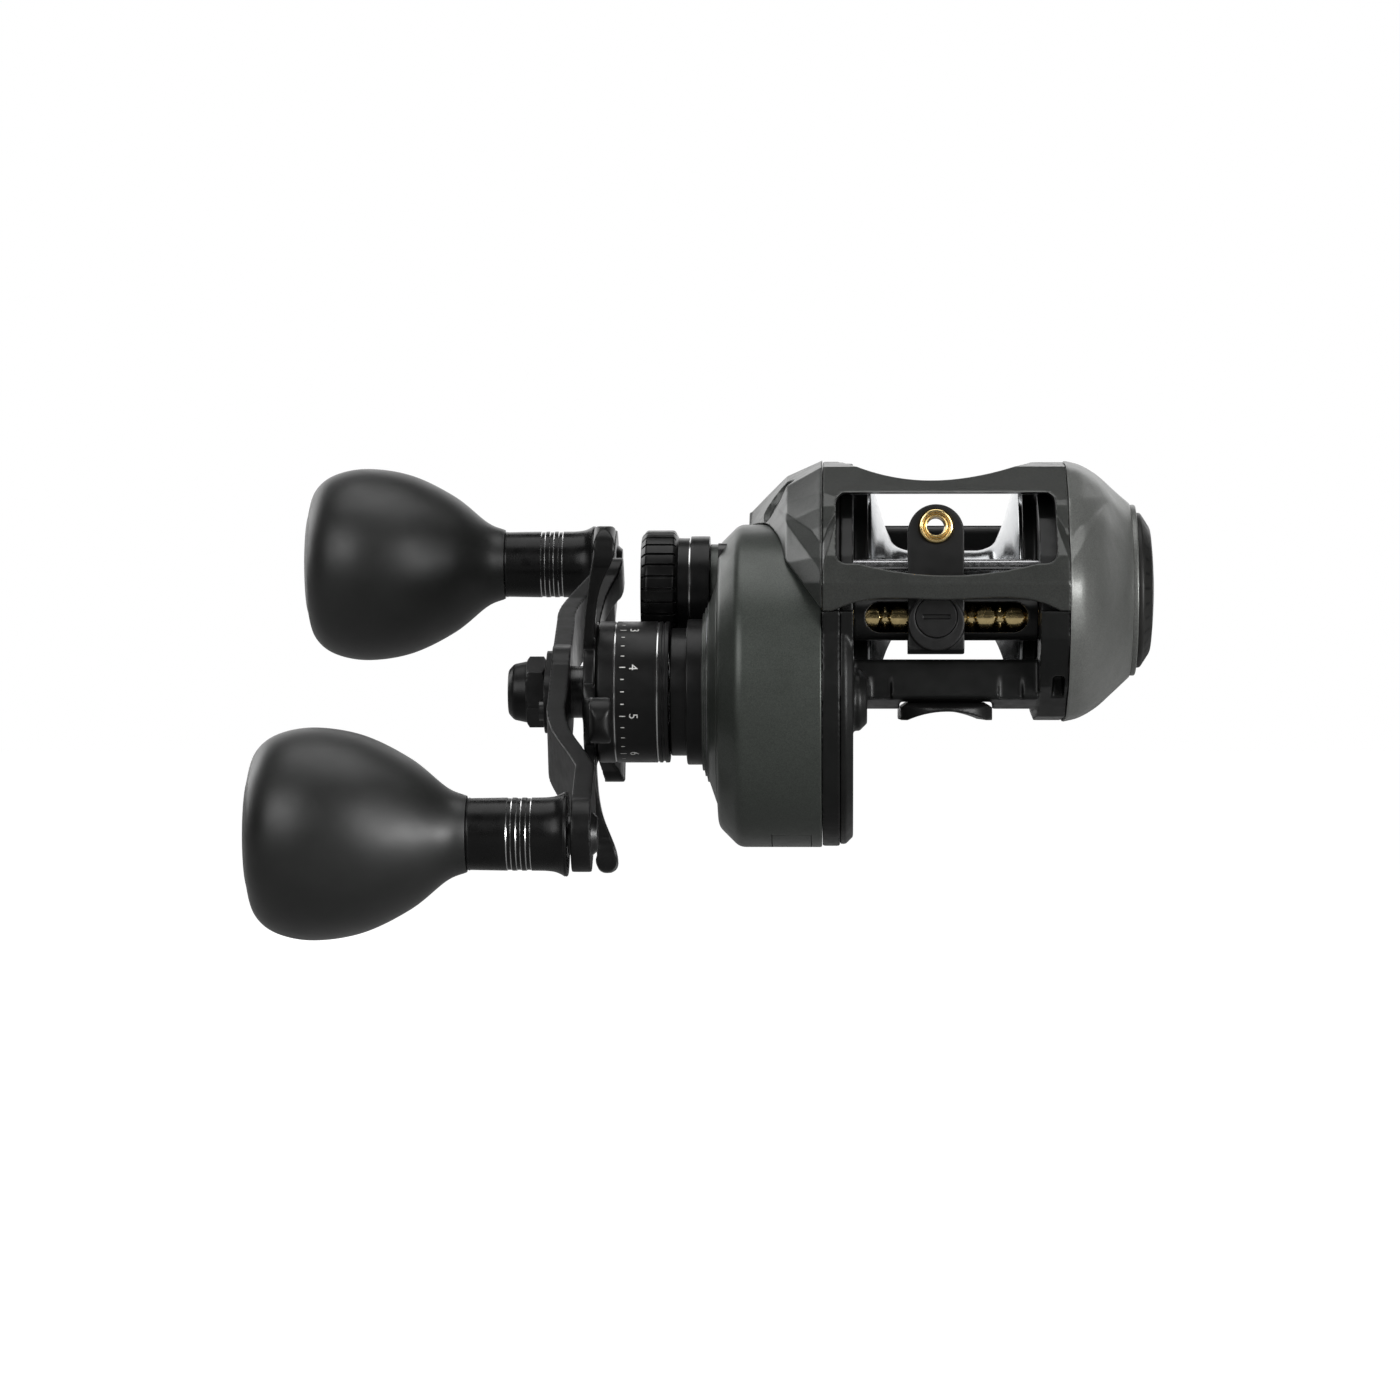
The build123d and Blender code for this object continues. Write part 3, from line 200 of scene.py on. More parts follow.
def anodised(name, colour, roughness=0.32, turned=False, wear=0.35):
    """Black anodised aluminium, with turning marks along X on turned parts."""
    metal = Shader(name)
    worn = metal.math("MULTIPLY", metal.edges(0.15), metal.ranged(metal.noise(1.8), 0.0, wear))
    tint = metal.ranged(metal.noise(5.0), 0.0, 1.0)
    base = metal.mix(tint, rgb(*(0.8 * c for c in colour)), rgb(*(1.25 * c for c in colour)))
    metal.set(Base_Color=metal.mix(worn, base, rgb(0.32, 0.32, 0.32)), Metallic=0.35, Specular_IOR_Level=0.3)
    metal.set(Roughness=metal.ranged(metal.noise(2.2), roughness - 0.04, roughness + 0.06))
    if turned:
        marks = metal.noise(1.0, 2.0, metal.stretched((9.0, 0.05, 0.05)))
        metal.bump((marks, 0.006), (metal.noise(0.2), 0.001))
    else:
        metal.bump((metal.noise(0.16, 2.0), 0.003))
    return metal.material


def soft_touch(name):
    """Soft-touch coating of the knobs: deep black, broad highlights, a very fine tooth."""
    coat = Shader(name)
    dusty = coat.ranged(coat.noise(7.0, 4.0), 0.0, 1.0)
    coat.set(Base_Color=coat.mix(dusty, rgb(0.006, 0.0064, 0.006), rgb(0.010, 0.0105, 0.010)))
    coat.set(Roughness=coat.ranged(coat.noise(4.0), 0.40, 0.46), Specular_IOR_Level=0.52)
    coat.set(Sheen_Weight=0.05, Sheen_Roughness=0.4)
    coat.bump((coat.noise(0.14, 2.0), 0.0022))
    return coat.material


def moulded(name, colour, roughness=0.45):
    """Moulded plastic with a fine spark-eroded texture."""
    plastic = Shader(name)
    tint = plastic.ranged(plastic.noise(6.0), 0.0, 1.0)
    dark, light = rgb(*(0.85 * c for c in colour)), rgb(*(1.2 * c for c in colour))
    plastic.set(Base_Color=plastic.mix(tint, dark, light))
    plastic.set(Roughness=plastic.ranged(plastic.noise(2.0), roughness - 0.05, roughness + 0.06))
    plastic.set(Specular_IOR_Level=0.32)
    plastic.bump((plastic.noise(0.18, 2.0), 0.006))
    return plastic.material


def bare_metal(name, colour, roughness, grain=(8.0, 0.15, 0.15), wear=0.0):
    """Machined or polished bare metal with a directional grain."""
    metal = Shader(name)
    streak = metal.noise(0.8, 3.0, metal.stretched(grain))
    base = metal.mix(metal.ranged(streak, 0.0, 1.0), rgb(*(0.86 * c for c in colour)), rgb(*colour))
    if wear:
        stain = metal.ranged(metal.noise(1.1, 4.0), 0.0, wear, 0.45, 0.75)
        base = metal.mix(stain, base, rgb(*(0.35 * c for c in colour)))
    metal.set(Base_Color=base, Metallic=1.0)
    metal.set(Roughness=metal.ranged(streak, roughness * 0.8, roughness * 1.3))
    metal.bump((streak, 0.0006), (metal.noise(2.5), 0.002))
    return metal.material


def fibre(name):
    """Woven fibre of the drag washers."""
    weave = Shader(name)
    threads = []
    for direction in ("Y", "Z"):
        wave = weave.add("ShaderNodeTexWave", bands_direction=direction)
        wave.inputs["Scale"].default_value = 1 / (2.2 * MM)
        weave.join(weave.place, wave.inputs["Vector"])
        threads.append(wave.outputs["Fac"])
    height = weave.math("MAXIMUM", *threads)
    weave.set(Base_Color=weave.mix(height, rgb(0.015, 0.015, 0.015), rgb(0.07, 0.07, 0.07)), Roughness=0.6)
    weave.bump((height, 0.03))
    return weave.material


def print_ink(name):
    """White print with slightly uneven cover."""
    ink = Shader(name)
    cover = ink.ranged(ink.noise(0.4), 0.0, 1.0)
    ink.set(Base_Color=ink.mix(cover, rgb(0.62, 0.62, 0.60), rgb(0.80, 0.80, 0.78)), Roughness=0.5)
    ink.bump((ink.noise(0.2), 0.003))
    return ink.material


LOOKS = {
    "frame_paint": anodised("frame_paint", (0.008, 0.0083, 0.008), 0.36),
    "cover_paint": metallic_paint("cover_paint", (0.044, 0.050, 0.044)),
    "shoulder_paint": metallic_paint("shoulder_paint", (0.045, 0.048, 0.045), 0.38),
    "palm_paint": metallic_paint("palm_paint", (0.125, 0.129, 0.122), 0.40),
    "nose_paint": metallic_paint("nose_paint", (0.038, 0.040, 0.037), 0.36),
    "dial_paint": anodised("dial_paint", (0.020, 0.020, 0.019), 0.42, wear=0.1),
    "foot_black": anodised("foot_black", (0.012, 0.012, 0.012), 0.34),
    "handle_black": anodised("handle_black", (0.008, 0.008, 0.008), 0.36),
    "star_black": anodised("star_black", (0.010, 0.010, 0.010), 0.34),
    "ferrule_black": anodised("ferrule_black", (0.006, 0.006, 0.006), 0.27, turned=True, wear=0.1),
    "cap_black": anodised("cap_black", (0.008, 0.008, 0.008), 0.30, turned=True),
    "knob_soft_black": soft_touch("knob_soft_black"),
    "guide_plastic": moulded("guide_plastic", (0.007, 0.007, 0.007), 0.42),
    "thumb_rubber": moulded("thumb_rubber", (0.010, 0.010, 0.010), 0.55),
    "cam_plastic": moulded("cam_plastic", (0.50, 0.48, 0.42), 0.4),
    "spool_metal": bare_metal("spool_metal", (0.42, 0.43, 0.44), 0.2, (1.0, 1.0, 1.0)),
    "rotor_metal": bare_metal("rotor_metal", (0.72, 0.72, 0.73), 0.2),
    "gear_brass": bare_metal("gear_brass", (0.72, 0.50, 0.20), 0.24),
    "worm_gold": bare_metal("worm_gold", (0.95, 0.74, 0.36), 0.22, (1.5, 1.0, 1.0), 0.5),
    "guide_gold": bare_metal("guide_gold", (0.92, 0.70, 0.32), 0.2, (1.0, 1.0, 1.0)),
    "steel": bare_metal("steel", (0.42, 0.42, 0.43), 0.25, (1.0, 1.0, 1.0)),
    "screw_black": bare_metal("screw_black", (0.07, 0.07, 0.07), 0.3),
    "drag_fibre": fibre("drag_fibre"),
    "magnet_nickel": bare_metal("magnet_nickel", (0.66, 0.66, 0.66), 0.1),
}
INK = print_ink("white_print")
SILVER = bare_metal("bright_ring", (0.62, 0.62, 0.62), 0.22)
DULL_RING = bare_metal("dull_ring", (0.22, 0.22, 0.24), 0.2)


def smooth_by_angle(limit=28):
    """Node group that joins split vertices and keeps only edges over a limit sharp, in degrees."""
    group = bpy.data.node_groups.new("smooth_by_angle", "GeometryNodeTree")
    group.interface.new_socket("Geometry", in_out="INPUT", socket_type="NodeSocketGeometry")
    group.interface.new_socket("Geometry", in_out="OUTPUT", socket_type="NodeSocketGeometry")
    start = group.nodes.new("NodeGroupInput")
    end = group.nodes.new("NodeGroupOutput")
    merge = group.nodes.new("GeometryNodeMergeByDistance")
    merge.inputs["Distance"].default_value = 0.001 * MM
    faces = group.nodes.new("GeometryNodeSetShadeSmooth")
    edges = group.nodes.new("GeometryNodeSetShadeSmooth")
    edges.domain = "EDGE"
    angle = group.nodes.new("GeometryNodeInputMeshEdgeAngle")
    shallow = group.nodes.new("FunctionNodeCompare")
    shallow.operation = "LESS_THAN"
    shallow.inputs["B"].default_value = radians(limit)
    group.links.new(angle.outputs["Unsigned Angle"], shallow.inputs["A"])
    group.links.new(start.outputs[0], merge.inputs["Geometry"])
    group.links.new(merge.outputs["Geometry"], faces.inputs["Geometry"])
    group.links.new(faces.outputs["Geometry"], edges.inputs["Geometry"])
    group.links.new(shallow.outputs["Result"], edges.inputs["Shade Smooth"])
    group.links.new(edges.outputs["Geometry"], end.inputs[0])
    return group


SMOOTH_BY_ANGLE = smooth_by_angle()


def dress_cad_nodes():
    """Gives every CAD node its material and smooth shading."""
    slots = {entry["node"]: entry["material_slot"] for entry in frame["record"]["subparts"]}
    for name, node in NODES.items():
        node.data.materials.clear()
        node.data.materials.append(LOOKS[slots[name]])
        for face in node.data.polygons:
            face.material_index = 0
            face.use_smooth = True
        soften = node.modifiers.new("soften", "NODES")
        soften.node_group = SMOOTH_BY_ANGLE


# ---------------------------------------------------------------- mesh work


def link(name, mesh):
    piece = bpy.data.objects.new(name, mesh)
    bpy.context.collection.objects.link(piece)
    return piece


def settle(piece):
    """Turns a piece's modifiers into plain mesh."""
    graph = bpy.context.evaluated_depsgraph_get()
    mesh = bpy.data.meshes.new_from_object(piece.evaluated_get(graph))
    old = piece.data
    piece.modifiers.clear()
    piece.data = mesh
    bpy.data.meshes.remove(old)
    return piece


def dress(piece, look, body, *nodes, sharp=32, bands=()):
    """Material, shading and body of a piece; bands are (low x, high x, material) stripes."""
    mesh = piece.data
    mesh.materials.clear()
    mesh.materials.append(LOOKS[look])
    for low, high, stripe in bands:
        if stripe.name not in mesh.materials:
            mesh.materials.append(stripe)
    for face in mesh.polygons:
        face.use_smooth = True
        face.material_index = 0
        x = face.center.x / MM
        for low, high, stripe in bands:
            if low < x < high:
                face.material_index = mesh.materials.find(stripe.name)
    mesh.set_sharp_from_angle(angle=radians(sharp))
    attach(piece, body)
    if nodes:
        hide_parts(*nodes)
    return piece


def rounded(corners, steps=5):
    """Section points from (x, r) corners; a third number rounds its corner over that length."""
    points = []
    count = len(corners)
    for k, (x, r, *soft) in enumerate(corners):
        here = Vector((x, r))
        if not soft:
            points.append(here)
            continue
        start = here + soft[0] * (Vector(corners[k - 1][:2]) - here).normalized()
        end = here + soft[0] * (Vector(corners[(k + 1) % count][:2]) - here).normalized()
        for j in range(steps + 1):
            t = j / steps
            points.append(start * (1 - t) ** 2 + here * 2 * t * (1 - t) + end * t * t)
    return points


def through(knots, steps=8):
    """Points on a smooth curve through (x, r) knots."""
    knots = [Vector(knot) for knot in knots]
    padded = [2 * knots[0] - knots[1]] + knots + [2 * knots[-1] - knots[-2]]
    points = []
    for a, b, c, d in zip(padded, padded[1:], padded[2:], padded[3:]):
        for j in range(steps):
            t = j / steps
            square = (2 * a - 5 * b + 4 * c - d) * t**2
            cube = (3 * b - a - 3 * c + d) * t**3
            points.append(0.5 * (2 * b + (c - a) * t + square + cube))
    return points + [knots[-1]]


def finely(points, step):
    """The same closed section with its long sides divided."""
    fine = []
    for a, b in zip(points, points[1:] + points[:1]):
        count = max(1, round((b - a).length / step))
        fine += [a.lerp(b, j / count) for j in range(count)]
    return fine


def lathe(name, points, axis, shape=None, segments=160):
    """A closed section turned about a line along X; shape(x, r, angle) may change the radius."""
    work = bmesh.new()
    rings = []
    for x, radius in points:
        count = segments if radius > 1e-4 else 1
        ring = []
        for k in range(count):
            angle = tau * k / segments
            reach = shape(x, radius, angle) if shape else radius
            y, z = axis[0] + reach * cos(angle), axis[1] + reach * sin(angle)
            ring.append(work.verts.new(Vector((x, y, z)) * MM))
        rings.append(ring)
    for here, there in zip(rings, rings[1:] + rings[:1]):
        if len(here) == len(there) == 1:
            continue
        for k in range(segments):
            near = [here[k % len(here)], here[(k + 1) % len(here)]]
            far = [there[(k + 1) % len(there)], there[k % len(there)]]
            work.faces.new(list(dict.fromkeys(near + far)))
    bmesh.ops.recalc_face_normals(work, faces=work.faces)
    mesh = bpy.data.meshes.new(name)
    work.to_mesh(mesh)
    work.free()
    return link(name, mesh)


def carve(piece, tool, operation="DIFFERENCE"):
    """Cuts or joins a tool shape, which is then thrown away."""
    cut = piece.modifiers.new(operation.lower(), "BOOLEAN")
    cut.operation = operation
    cut.solver = "EXACT"
    cut.object = tool
    settle(piece)
    bpy.data.objects.remove(tool)
    return piece


def recast(name, node, voxel=0.22, rounds=4, tools=()):
    """A copy of a CAD node as one skin of small even faces with softened edges."""
    mesh = NODES[node].data.copy()
    piece = link(name, mesh)
    if tools:
        work = bmesh.new()
        work.from_mesh(mesh)
        bmesh.ops.remove_doubles(work, verts=work.verts, dist=0.001 * MM)
        work.to_mesh(mesh)
        work.free()
    for tool in tools:
        carve(piece, tool)
    skin = piece.modifiers.new("skin", "REMESH")
    skin.mode = "VOXEL"
    skin.voxel_size = voxel * MM
    soften = piece.modifiers.new("soften", "SMOOTH")
    soften.factor = 0.5
    soften.iterations = rounds
    return settle(piece)


def block(name, corner, opposite):
    """A plain box used only as a cutting tool."""
    work = bmesh.new()
    bmesh.ops.create_cube(work, size=1.0)
    low, high = Vector(corner) * MM, Vector(opposite) * MM
    for vertex in work.verts:
        vertex.co = [at * (top - base) + (top + base) / 2 for at, base, top in zip(vertex.co, low, high)]
    mesh = bpy.data.meshes.new(name)
    work.to_mesh(mesh)
    work.free()
    return link(name, mesh)


# ---------------------------------------------------------------- knobs and ferrules

KNOB_BASE = span("front_knob_ferrule")[1].x
KNOB_SEAM = span("front_knob_grip")[1].x
KNOB_TIP = span("front_knob_grip")[0].x
FERRULE_R = 5.6
FERRULE_BORE = 4.05
RING_FIRST = 5.5  # from the ferrule's foot to its first bright line
RING_STEP = 0.68
RING_GAP = 0.12
RING_LINE = 0.15
BULB = [(0, 8.5), (1.3, 12.7), (4.6, 15.3), (10.3, 16.3), (17.7, 15.1), (25, 11.5), (30.4, 7.2)]


def make_grip(side, axis):
    """Power grip: a flat-ended bulb, hollow for its bearing and shaft."""
    outside = through([(KNOB_TIP + x, r) for x, r in BULB] + [(KNOB_SEAM, 5.86)], 10)
    bore = rounded([(KNOB_SEAM, 4.0), (-84.3, 4.0), (-84.3, 3.5), (-90.0, 3.5), (-90.0, 0)])
    grip = lathe(side + "_grip", [Vector((KNOB_TIP, 0))] + outside + bore, axis, segments=200)
    dress(grip, "knob_soft_black", side + "_knob", side + "_knob_grip", sharp=40)


def make_ferrule(side, axis):
    """Neck of a knob with a flared foot and three pairs of bright turned rings."""
    foot = through([(-0.5, 6.5), (-1.1, 6.15), (-2.0, 5.8), (-3.2, 5.64), (-4.4, FERRULE_R)], 6)
    section = rounded([(KNOB_BASE, FERRULE_BORE), (KNOB_BASE, 6.4, 0.15), (KNOB_BASE - 0.3, 6.54, 0.1)])
    section += [Vector((KNOB_BASE + x, r)) for x, r in foot]
    bright = []
    for k in range(6):
        start = KNOB_BASE - RING_FIRST - RING_STEP * k - RING_GAP * (k // 2)
        low = 0.12 if k % 2 == 0 else -0.12
        section.append(Vector((start, FERRULE_R + min(low, 0))))
        section.append(Vector((start - RING_LINE, FERRULE_R - max(low, 0))))
        bright.append((start - RING_LINE, start, SILVER))
    seam = KNOB_SEAM + 0.1
    section += rounded([(seam + 0.4, FERRULE_R, 0.1), (seam, FERRULE_R - 0.12), (seam, FERRULE_BORE)])
    ferrule = lathe(side + "_ferrule", section, axis)
    dress(ferrule, "ferrule_black", side + "_knob", side + "_knob_ferrule", bands=bright)


def make_knobs():
    for side, axis in (("front", FRONT_KNOB), ("rear", REAR_KNOB)):
        make_grip(side, axis)
        make_ferrule(side, axis)


# ---------------------------------------------------------------- star, crank and cast cap

COLLAR_R = 11.4
COLLAR_GROOVES = (-52.9, -46.1)
COLLAR_END = span("star_drag")[1].x
SHAFT_BORE = 3.1
COLLAR_TICKS = 36
TICKS_PER_NUMERAL = 4
TICK_ROW = -51.6
NUMERAL_ROW = -49.9
CAP_RIBS = 30


def wrap(piece, radius, axis, angle, x):
    """Bends a flat drawing, made in its own x and y, round a cylinder along X."""
    for vertex in piece.data.vertices:
        turn = angle + vertex.co.x / (radius * MM)
        along, reach = x * MM + vertex.co.y, radius * MM + vertex.co.z
        vertex.co = Vector((along, axis[0] * MM + reach * cos(turn), axis[1] * MM + reach * sin(turn)))


def numeral(name, text, height):
    """A printed numeral, lying flat."""
    curve = bpy.data.curves.new(name, "FONT")
    curve.body = text
    curve.size = height * MM
    curve.align_x = "CENTER"
    curve.align_y = "CENTER"
    curve.extrude = 0.02 * MM
    holder = link(name + "_curve", curve)
    graph = bpy.context.evaluated_depsgraph_get()
    mesh = bpy.data.meshes.new_from_object(holder.evaluated_get(graph))
    bpy.data.objects.remove(holder)
    return link(name, mesh)


def tick(name, length, width):
    """A printed line across the drawing, with its ends a little round."""
    work = bmesh.new()
    bmesh.ops.create_grid(work, x_segments=2, y_segments=6, size=0.5)
    for vertex in work.verts:
        taper = 1 - 0.35 * (2 * abs(vertex.co.y)) ** 6
        vertex.co = Vector((vertex.co.x * width * taper, vertex.co.y * length, 0.02)) * MM
    mesh = bpy.data.meshes.new(name)
    work.to_mesh(mesh)
    work.free()
    return link(name, mesh)


def gather(name, pieces):
    """Joins pieces into one mesh."""
    work = bmesh.new()
    for piece in pieces:
        work.from_mesh(piece.data)
        bpy.data.objects.remove(piece)
    mesh = bpy.data.meshes.new(name)
    work.to_mesh(mesh)
    work.free()
    return link(name, mesh)


def make_star():
    """Star wheel: club-shaped arms, and the turned collar with its two bright lines and scale."""
    cleared = COLLAR_R + 0.2
    room = lathe("collar_room", rounded([(-55.9, 0), (-55.9, cleared), (-40, cleared), (-40, 0)]), DRIVE)
    arms = recast("star_arms", "star_drag", 0.2, 8, [room])
    dress(arms, "star_black", "star_drag", "star_drag", sharp=60)
    inside = [(COLLAR_END, 10.2), (-54.5, 10.2), (-54.5, 6.0), (-50.1, 6.0)]
    inside += [(-50.1, SHAFT_BORE), (-56.3, SHAFT_BORE)]
    outside = [(-56.3, 10.3, 0.2), (-55.5, COLLAR_R, 0.15)]
    for x in COLLAR_GROOVES:
        outside += [(x - 0.22, COLLAR_R), (x - 0.1, COLLAR_R - 0.16)]
        outside += [(x + 0.1, COLLAR_R - 0.16), (x + 0.22, COLLAR_R)]
    outside += [(-45.45, COLLAR_R, 0.05), (-45.35, COLLAR_R - 0.25), (-45.05, COLLAR_R - 0.25)]
    outside += [(-44.95, COLLAR_R, 0.05), (COLLAR_END, COLLAR_R, 0.2)]
    collar = lathe("star_collar", rounded(outside + inside), DRIVE)
    bright = [(x - 0.11, x + 0.11, SILVER) for x in COLLAR_GROOVES]
    dress(collar, "star_black", "star_drag", bands=bright)
    marks = []
    for k in range(COLLAR_TICKS):
        angle = tau * k / COLLAR_TICKS
        long = k % TICKS_PER_NUMERAL == 0
        mark = tick("mark", 1.0 if long else 0.6, 0.16)
        wrap(mark, COLLAR_R, DRIVE, angle, TICK_ROW)
        marks.append(mark)
        if long:
            number = numeral("number", str(k // TICKS_PER_NUMERAL), 2.0)
            wrap(number, COLLAR_R, DRIVE, angle, NUMERAL_ROW)
            marks.append(number)
    scale = gather("collar_scale", marks)
    dress(scale, "star_black", "star_drag")
    scale.data.materials[0] = INK


def hexagon(flats, first):
    """Limits a turned radius to a hexagon of this width across flats."""

    def limit(radius, angle):
        turn = (angle - first) % (tau / 6) - tau / 12
        return min(radius, flats / 2 / cos(turn))

    return limit


def make_crank():
    """Handle blade with softened edges, its lock plate, and the nut with its tapered nose."""
    for node, voxel, rounds in (("handle_arm", 0.2, 6), ("nut_lock_plate", 0.12, 3)):
        dress(recast(node + "_skin", node, voxel, rounds), "handle_black", "crank", node, sharp=60)
    low, high = span("handle_nut")
    flat = hexagon(10.0, radians(26.7))
    section = [(high.x, SHAFT_BORE), (high.x, 5.2), (high.x - 0.35, 5.75), (high.x - 2.6, 5.75)]
    section += [(-67.35, 5.2), (-67.4, 4.95, 0.1), (-69.5, 4.5, 0.35), (low.x, 3.5, 0.3)]
    section += [(low.x, 0), (-66.6, 0), (-66.6, SHAFT_BORE)]

    def shape(x, radius, angle):
        return flat(radius, angle) if x > -67.38 and radius > 4 else radius

    nut = lathe("handle_nut_skin", finely(rounded(section), 0.4), DRIVE, shape, 240)
    dress(nut, "handle_black", "crank", "handle_nut", sharp=25)


def make_cast_cap():
    """Cast-control cap: thirty ribs, then two smooth steps."""
    low, high = span("cast_cap")

    def knurled(x, radius, angle):
        if x > -43.7 or radius < 9:
            return radius
        groove = max(0.0, cos(CAP_RIBS * angle) - 0.72) / 0.28
        return radius - 0.55 * min(1.0, 1.6 * groove)

    outside = [(low.x, 0), (low.x, 8.8, 0.3), (low.x + 0.9, 9.85, 0.3)]
    outside += [(-44.0, 9.85, 0.3), (-43.6, 9.2, 0.2)]
    outside += [(-43.3, 8.6), (-41.6, 8.6), (-41.55, 8.35), (-41.35, 8.35)]
    outside += [(-41.3, 8.9, 0.1), (high.x, 8.9, 0.15)]
    inside = [(high.x, 6.25), (-47.6, 6.25), (-47.6, 0)]
    cap = lathe("cast_cap_skin", finely(rounded(outside + inside), 0.5), SPOOL, knurled, 480)
    dress(cap, "cap_black", "cast_cap", "cast_cap", sharp=30, bands=[(-41.57, -41.33, SILVER)])


# ---------------------------------------------------------------- gear cover

HOUSING = (-9.5, 5.5)  # (y, z) of the round gear housing's axis
HOUSING_R = 26.1
COVER_SEAM = span("gear_cover")[1].x
NECK = (-38.9, 12.72)  # the black neck lies outside this station and within this radius
SERVICE_PANEL_AT = 257  # degrees about the housing
BRIGHT_STEPS = ((-38.32, -38.1, 14.6), (-38.72, -38.5, 13.7))  # low x, high x and largest radius


def make_gear_cover():
    """Round gear housing with the stepped shoulder of the drive shaft and the cast cap's stub."""
    drum = [(COVER_SEAM, 24.4), (COVER_SEAM, HOUSING_R, 0.3), (-33.1, HOUSING_R, 1.0), (-36.5, 22.7, 1.0)]
    drum += [(-36.5, 11.0), (-34.8, 11.0), (-34.8, 22.6), (-33.2, 24.4)]
    cover = lathe("gear_cover_skin", rounded(drum), HOUSING, segments=256)
    cone = [(-34.8, 8.0), (-34.8, 18.3), (-36.6, 18.3, 0.3), (-37.9, 14.5, 0.2), (-38.15, 14.5)]
    cone += [(-38.3, 13.6), (-38.55, 13.6), (-38.7, 12.7), (-39.0, 12.7, 0.1), (-39.0, 11.75)]
    cone += [(-41.5, 11.75, 0.3), (-41.5, 10.3), (-44.1, 10.3, 0.3), (-44.1, 5.3), (-42.5, 5.3), (-42.5, 8.0)]
    carve(cover, lathe("cone", rounded(cone), DRIVE, segments=200), "UNION")
    stub = [(-34.7, 0), (-34.7, 7.6), (-38.1, 7.6, 0.2), (-38.1, 6.2)]
    stub += [(-44.4, 6.2, 0.3), (-44.4, 4.0), (-38.0, 4.0), (-38.0, 0)]
    carve(cover, lathe("stub", rounded(stub), SPOOL, segments=96), "UNION")
    carve(cover, lathe("bore", rounded([(-39, 0), (-39, 3.5), (-33, 3.5), (-33, 0)]), SPOOL, segments=96))
    low, high = span("service_panel")
    pocket = block("pocket", (low.x - 0.1, -5, HOUSING_R - 0.8), (high.x + 0.1, 5, 30))
    turn = Matrix.Rotation(radians(SERVICE_PANEL_AT - 90), 4, "X")
    pocket.data.transform(Matrix.Translation(Vector((0, *HOUSING)) * MM) @ turn)
    carve(cover, pocket)
    dress(cover, "cover_paint", "frame", "gear_cover", sharp=35)
    cover.data.materials.append(LOOKS["star_black"])
    cover.data.materials.append(DULL_RING)
    for face in cover.data.polygons:
        x, y, z = face.center / MM
        reach = sqrt((y - DRIVE[0]) ** 2 + (z - DRIVE[1]) ** 2)
        if x < NECK[0] and reach < NECK[1]:
            face.material_index = 1
        elif any(start < x < end and reach < widest for start, end, widest in BRIGHT_STEPS):
            face.material_index = 2


# ---------------------------------------------------------------- shells

# Side outline of the body about the spool, as (y, z) corners from the nose over the top to the tail
OUTLINE = [
    (-36.4, 21.5), (-34.9, 25.8), (-27.9, 34.2), (-17.2, 40.6), (-5.0, 42.2), (8.0, 40.8),
    (20.0, 35.2), (29.0, 26.2), (31.0, 17.0), (26.0, 7.5), (15.0, 1.0), (0.0, -0.4),
    (-16.0, 0.2), (-27.0, 5.0), (-34.0, 12.5),
]  # fmt: skip
PALM_SEAM = 19.3
PALM_OUT = 31.3
PALM_TAPER = [(PALM_SEAM, 0.0), (22.0, 0.09), (24.8, 0.3), (27.4, 0.6), (30.4, 0.97)]
PALM_RING_R = 14.0
DOME_SEGMENTS = 480
ON_DOME = 100.0  # a section radius from here up is an inset from the dome, not a radius


def outline_reach(angle):
    """Distance from the spool's axis to the outline, straight out at an angle."""
    ray = Vector((cos(angle), sin(angle)))
    for start, end in zip(OUTLINE, OUTLINE[1:] + OUTLINE[:1]):
        a, b = Vector(start) - Vector(SPOOL), Vector(end) - Vector(SPOOL)
        across = ray.cross(b - a)
        along = a.cross(b - a) / across if across else -1
        share = a.cross(ray) / across if across else -1
        if along > 0 and 0 <= share <= 1:
            return along
    return 0


def soft_outline(spread):
    """The outline's reach at each dome segment, with its corners evened out."""
    reach = [outline_reach(tau * (k + 0.01) / DOME_SEGMENTS) for k in range(DOME_SEGMENTS)]
    for _ in range(2):
        near = range(-spread, spread + 1)
        reach = [
            sum(reach[(k + j) % DOME_SEGMENTS] for j in near) / len(near) for k in range(DOME_SEGMENTS)
        ]
    return reach


def taper_at(x):
    """Share of the way from the outline to the ring at a station of the palm plate."""
    knots = through(PALM_TAPER, 6)
    for a, b in zip(knots, knots[1:]):
        if a.x <= x <= b.x:
            return a.y + (b.y - a.y) * (x - a.x) / (b.x - a.x)
    return knots[-1].y if x > knots[-1].x else 0


# Triangles pressed into the front, each as the (x, z) ends of its deep side, its tip and its depth
SEAM_SCOOP_DEPTH = 1.3
LEFT_SEAM = ((-19.75, 36.2), (-19.75, 23.2))
RIGHT_SEAM = ((19.25, 35.0), (19.25, 24.6))
SHOULDER_SCOOPS = [(*LEFT_SEAM, (-27.4, 34.3), SEAM_SCOOP_DEPTH)]
PALM_SCOOPS = [(*RIGHT_SEAM, (26.4, 35.6), SEAM_SCOOP_DEPTH)]
NOSE_SCOOPS = [
    (*LEFT_SEAM, (-16.4, 35.0), SEAM_SCOOP_DEPTH),
    (*RIGHT_SEAM, (15.8, 34.6), SEAM_SCOOP_DEPTH),
]
SCOOP_WAY = Vector((0, 0.87, -0.5))
SCOOP_SIDES = 2.6  # how steeply a scoop's two long sides fall
SCOOP_REACH = 1.02  # a touch past the deep side
FRONT_Y = -12.0  # only the skin in front of this is pressed


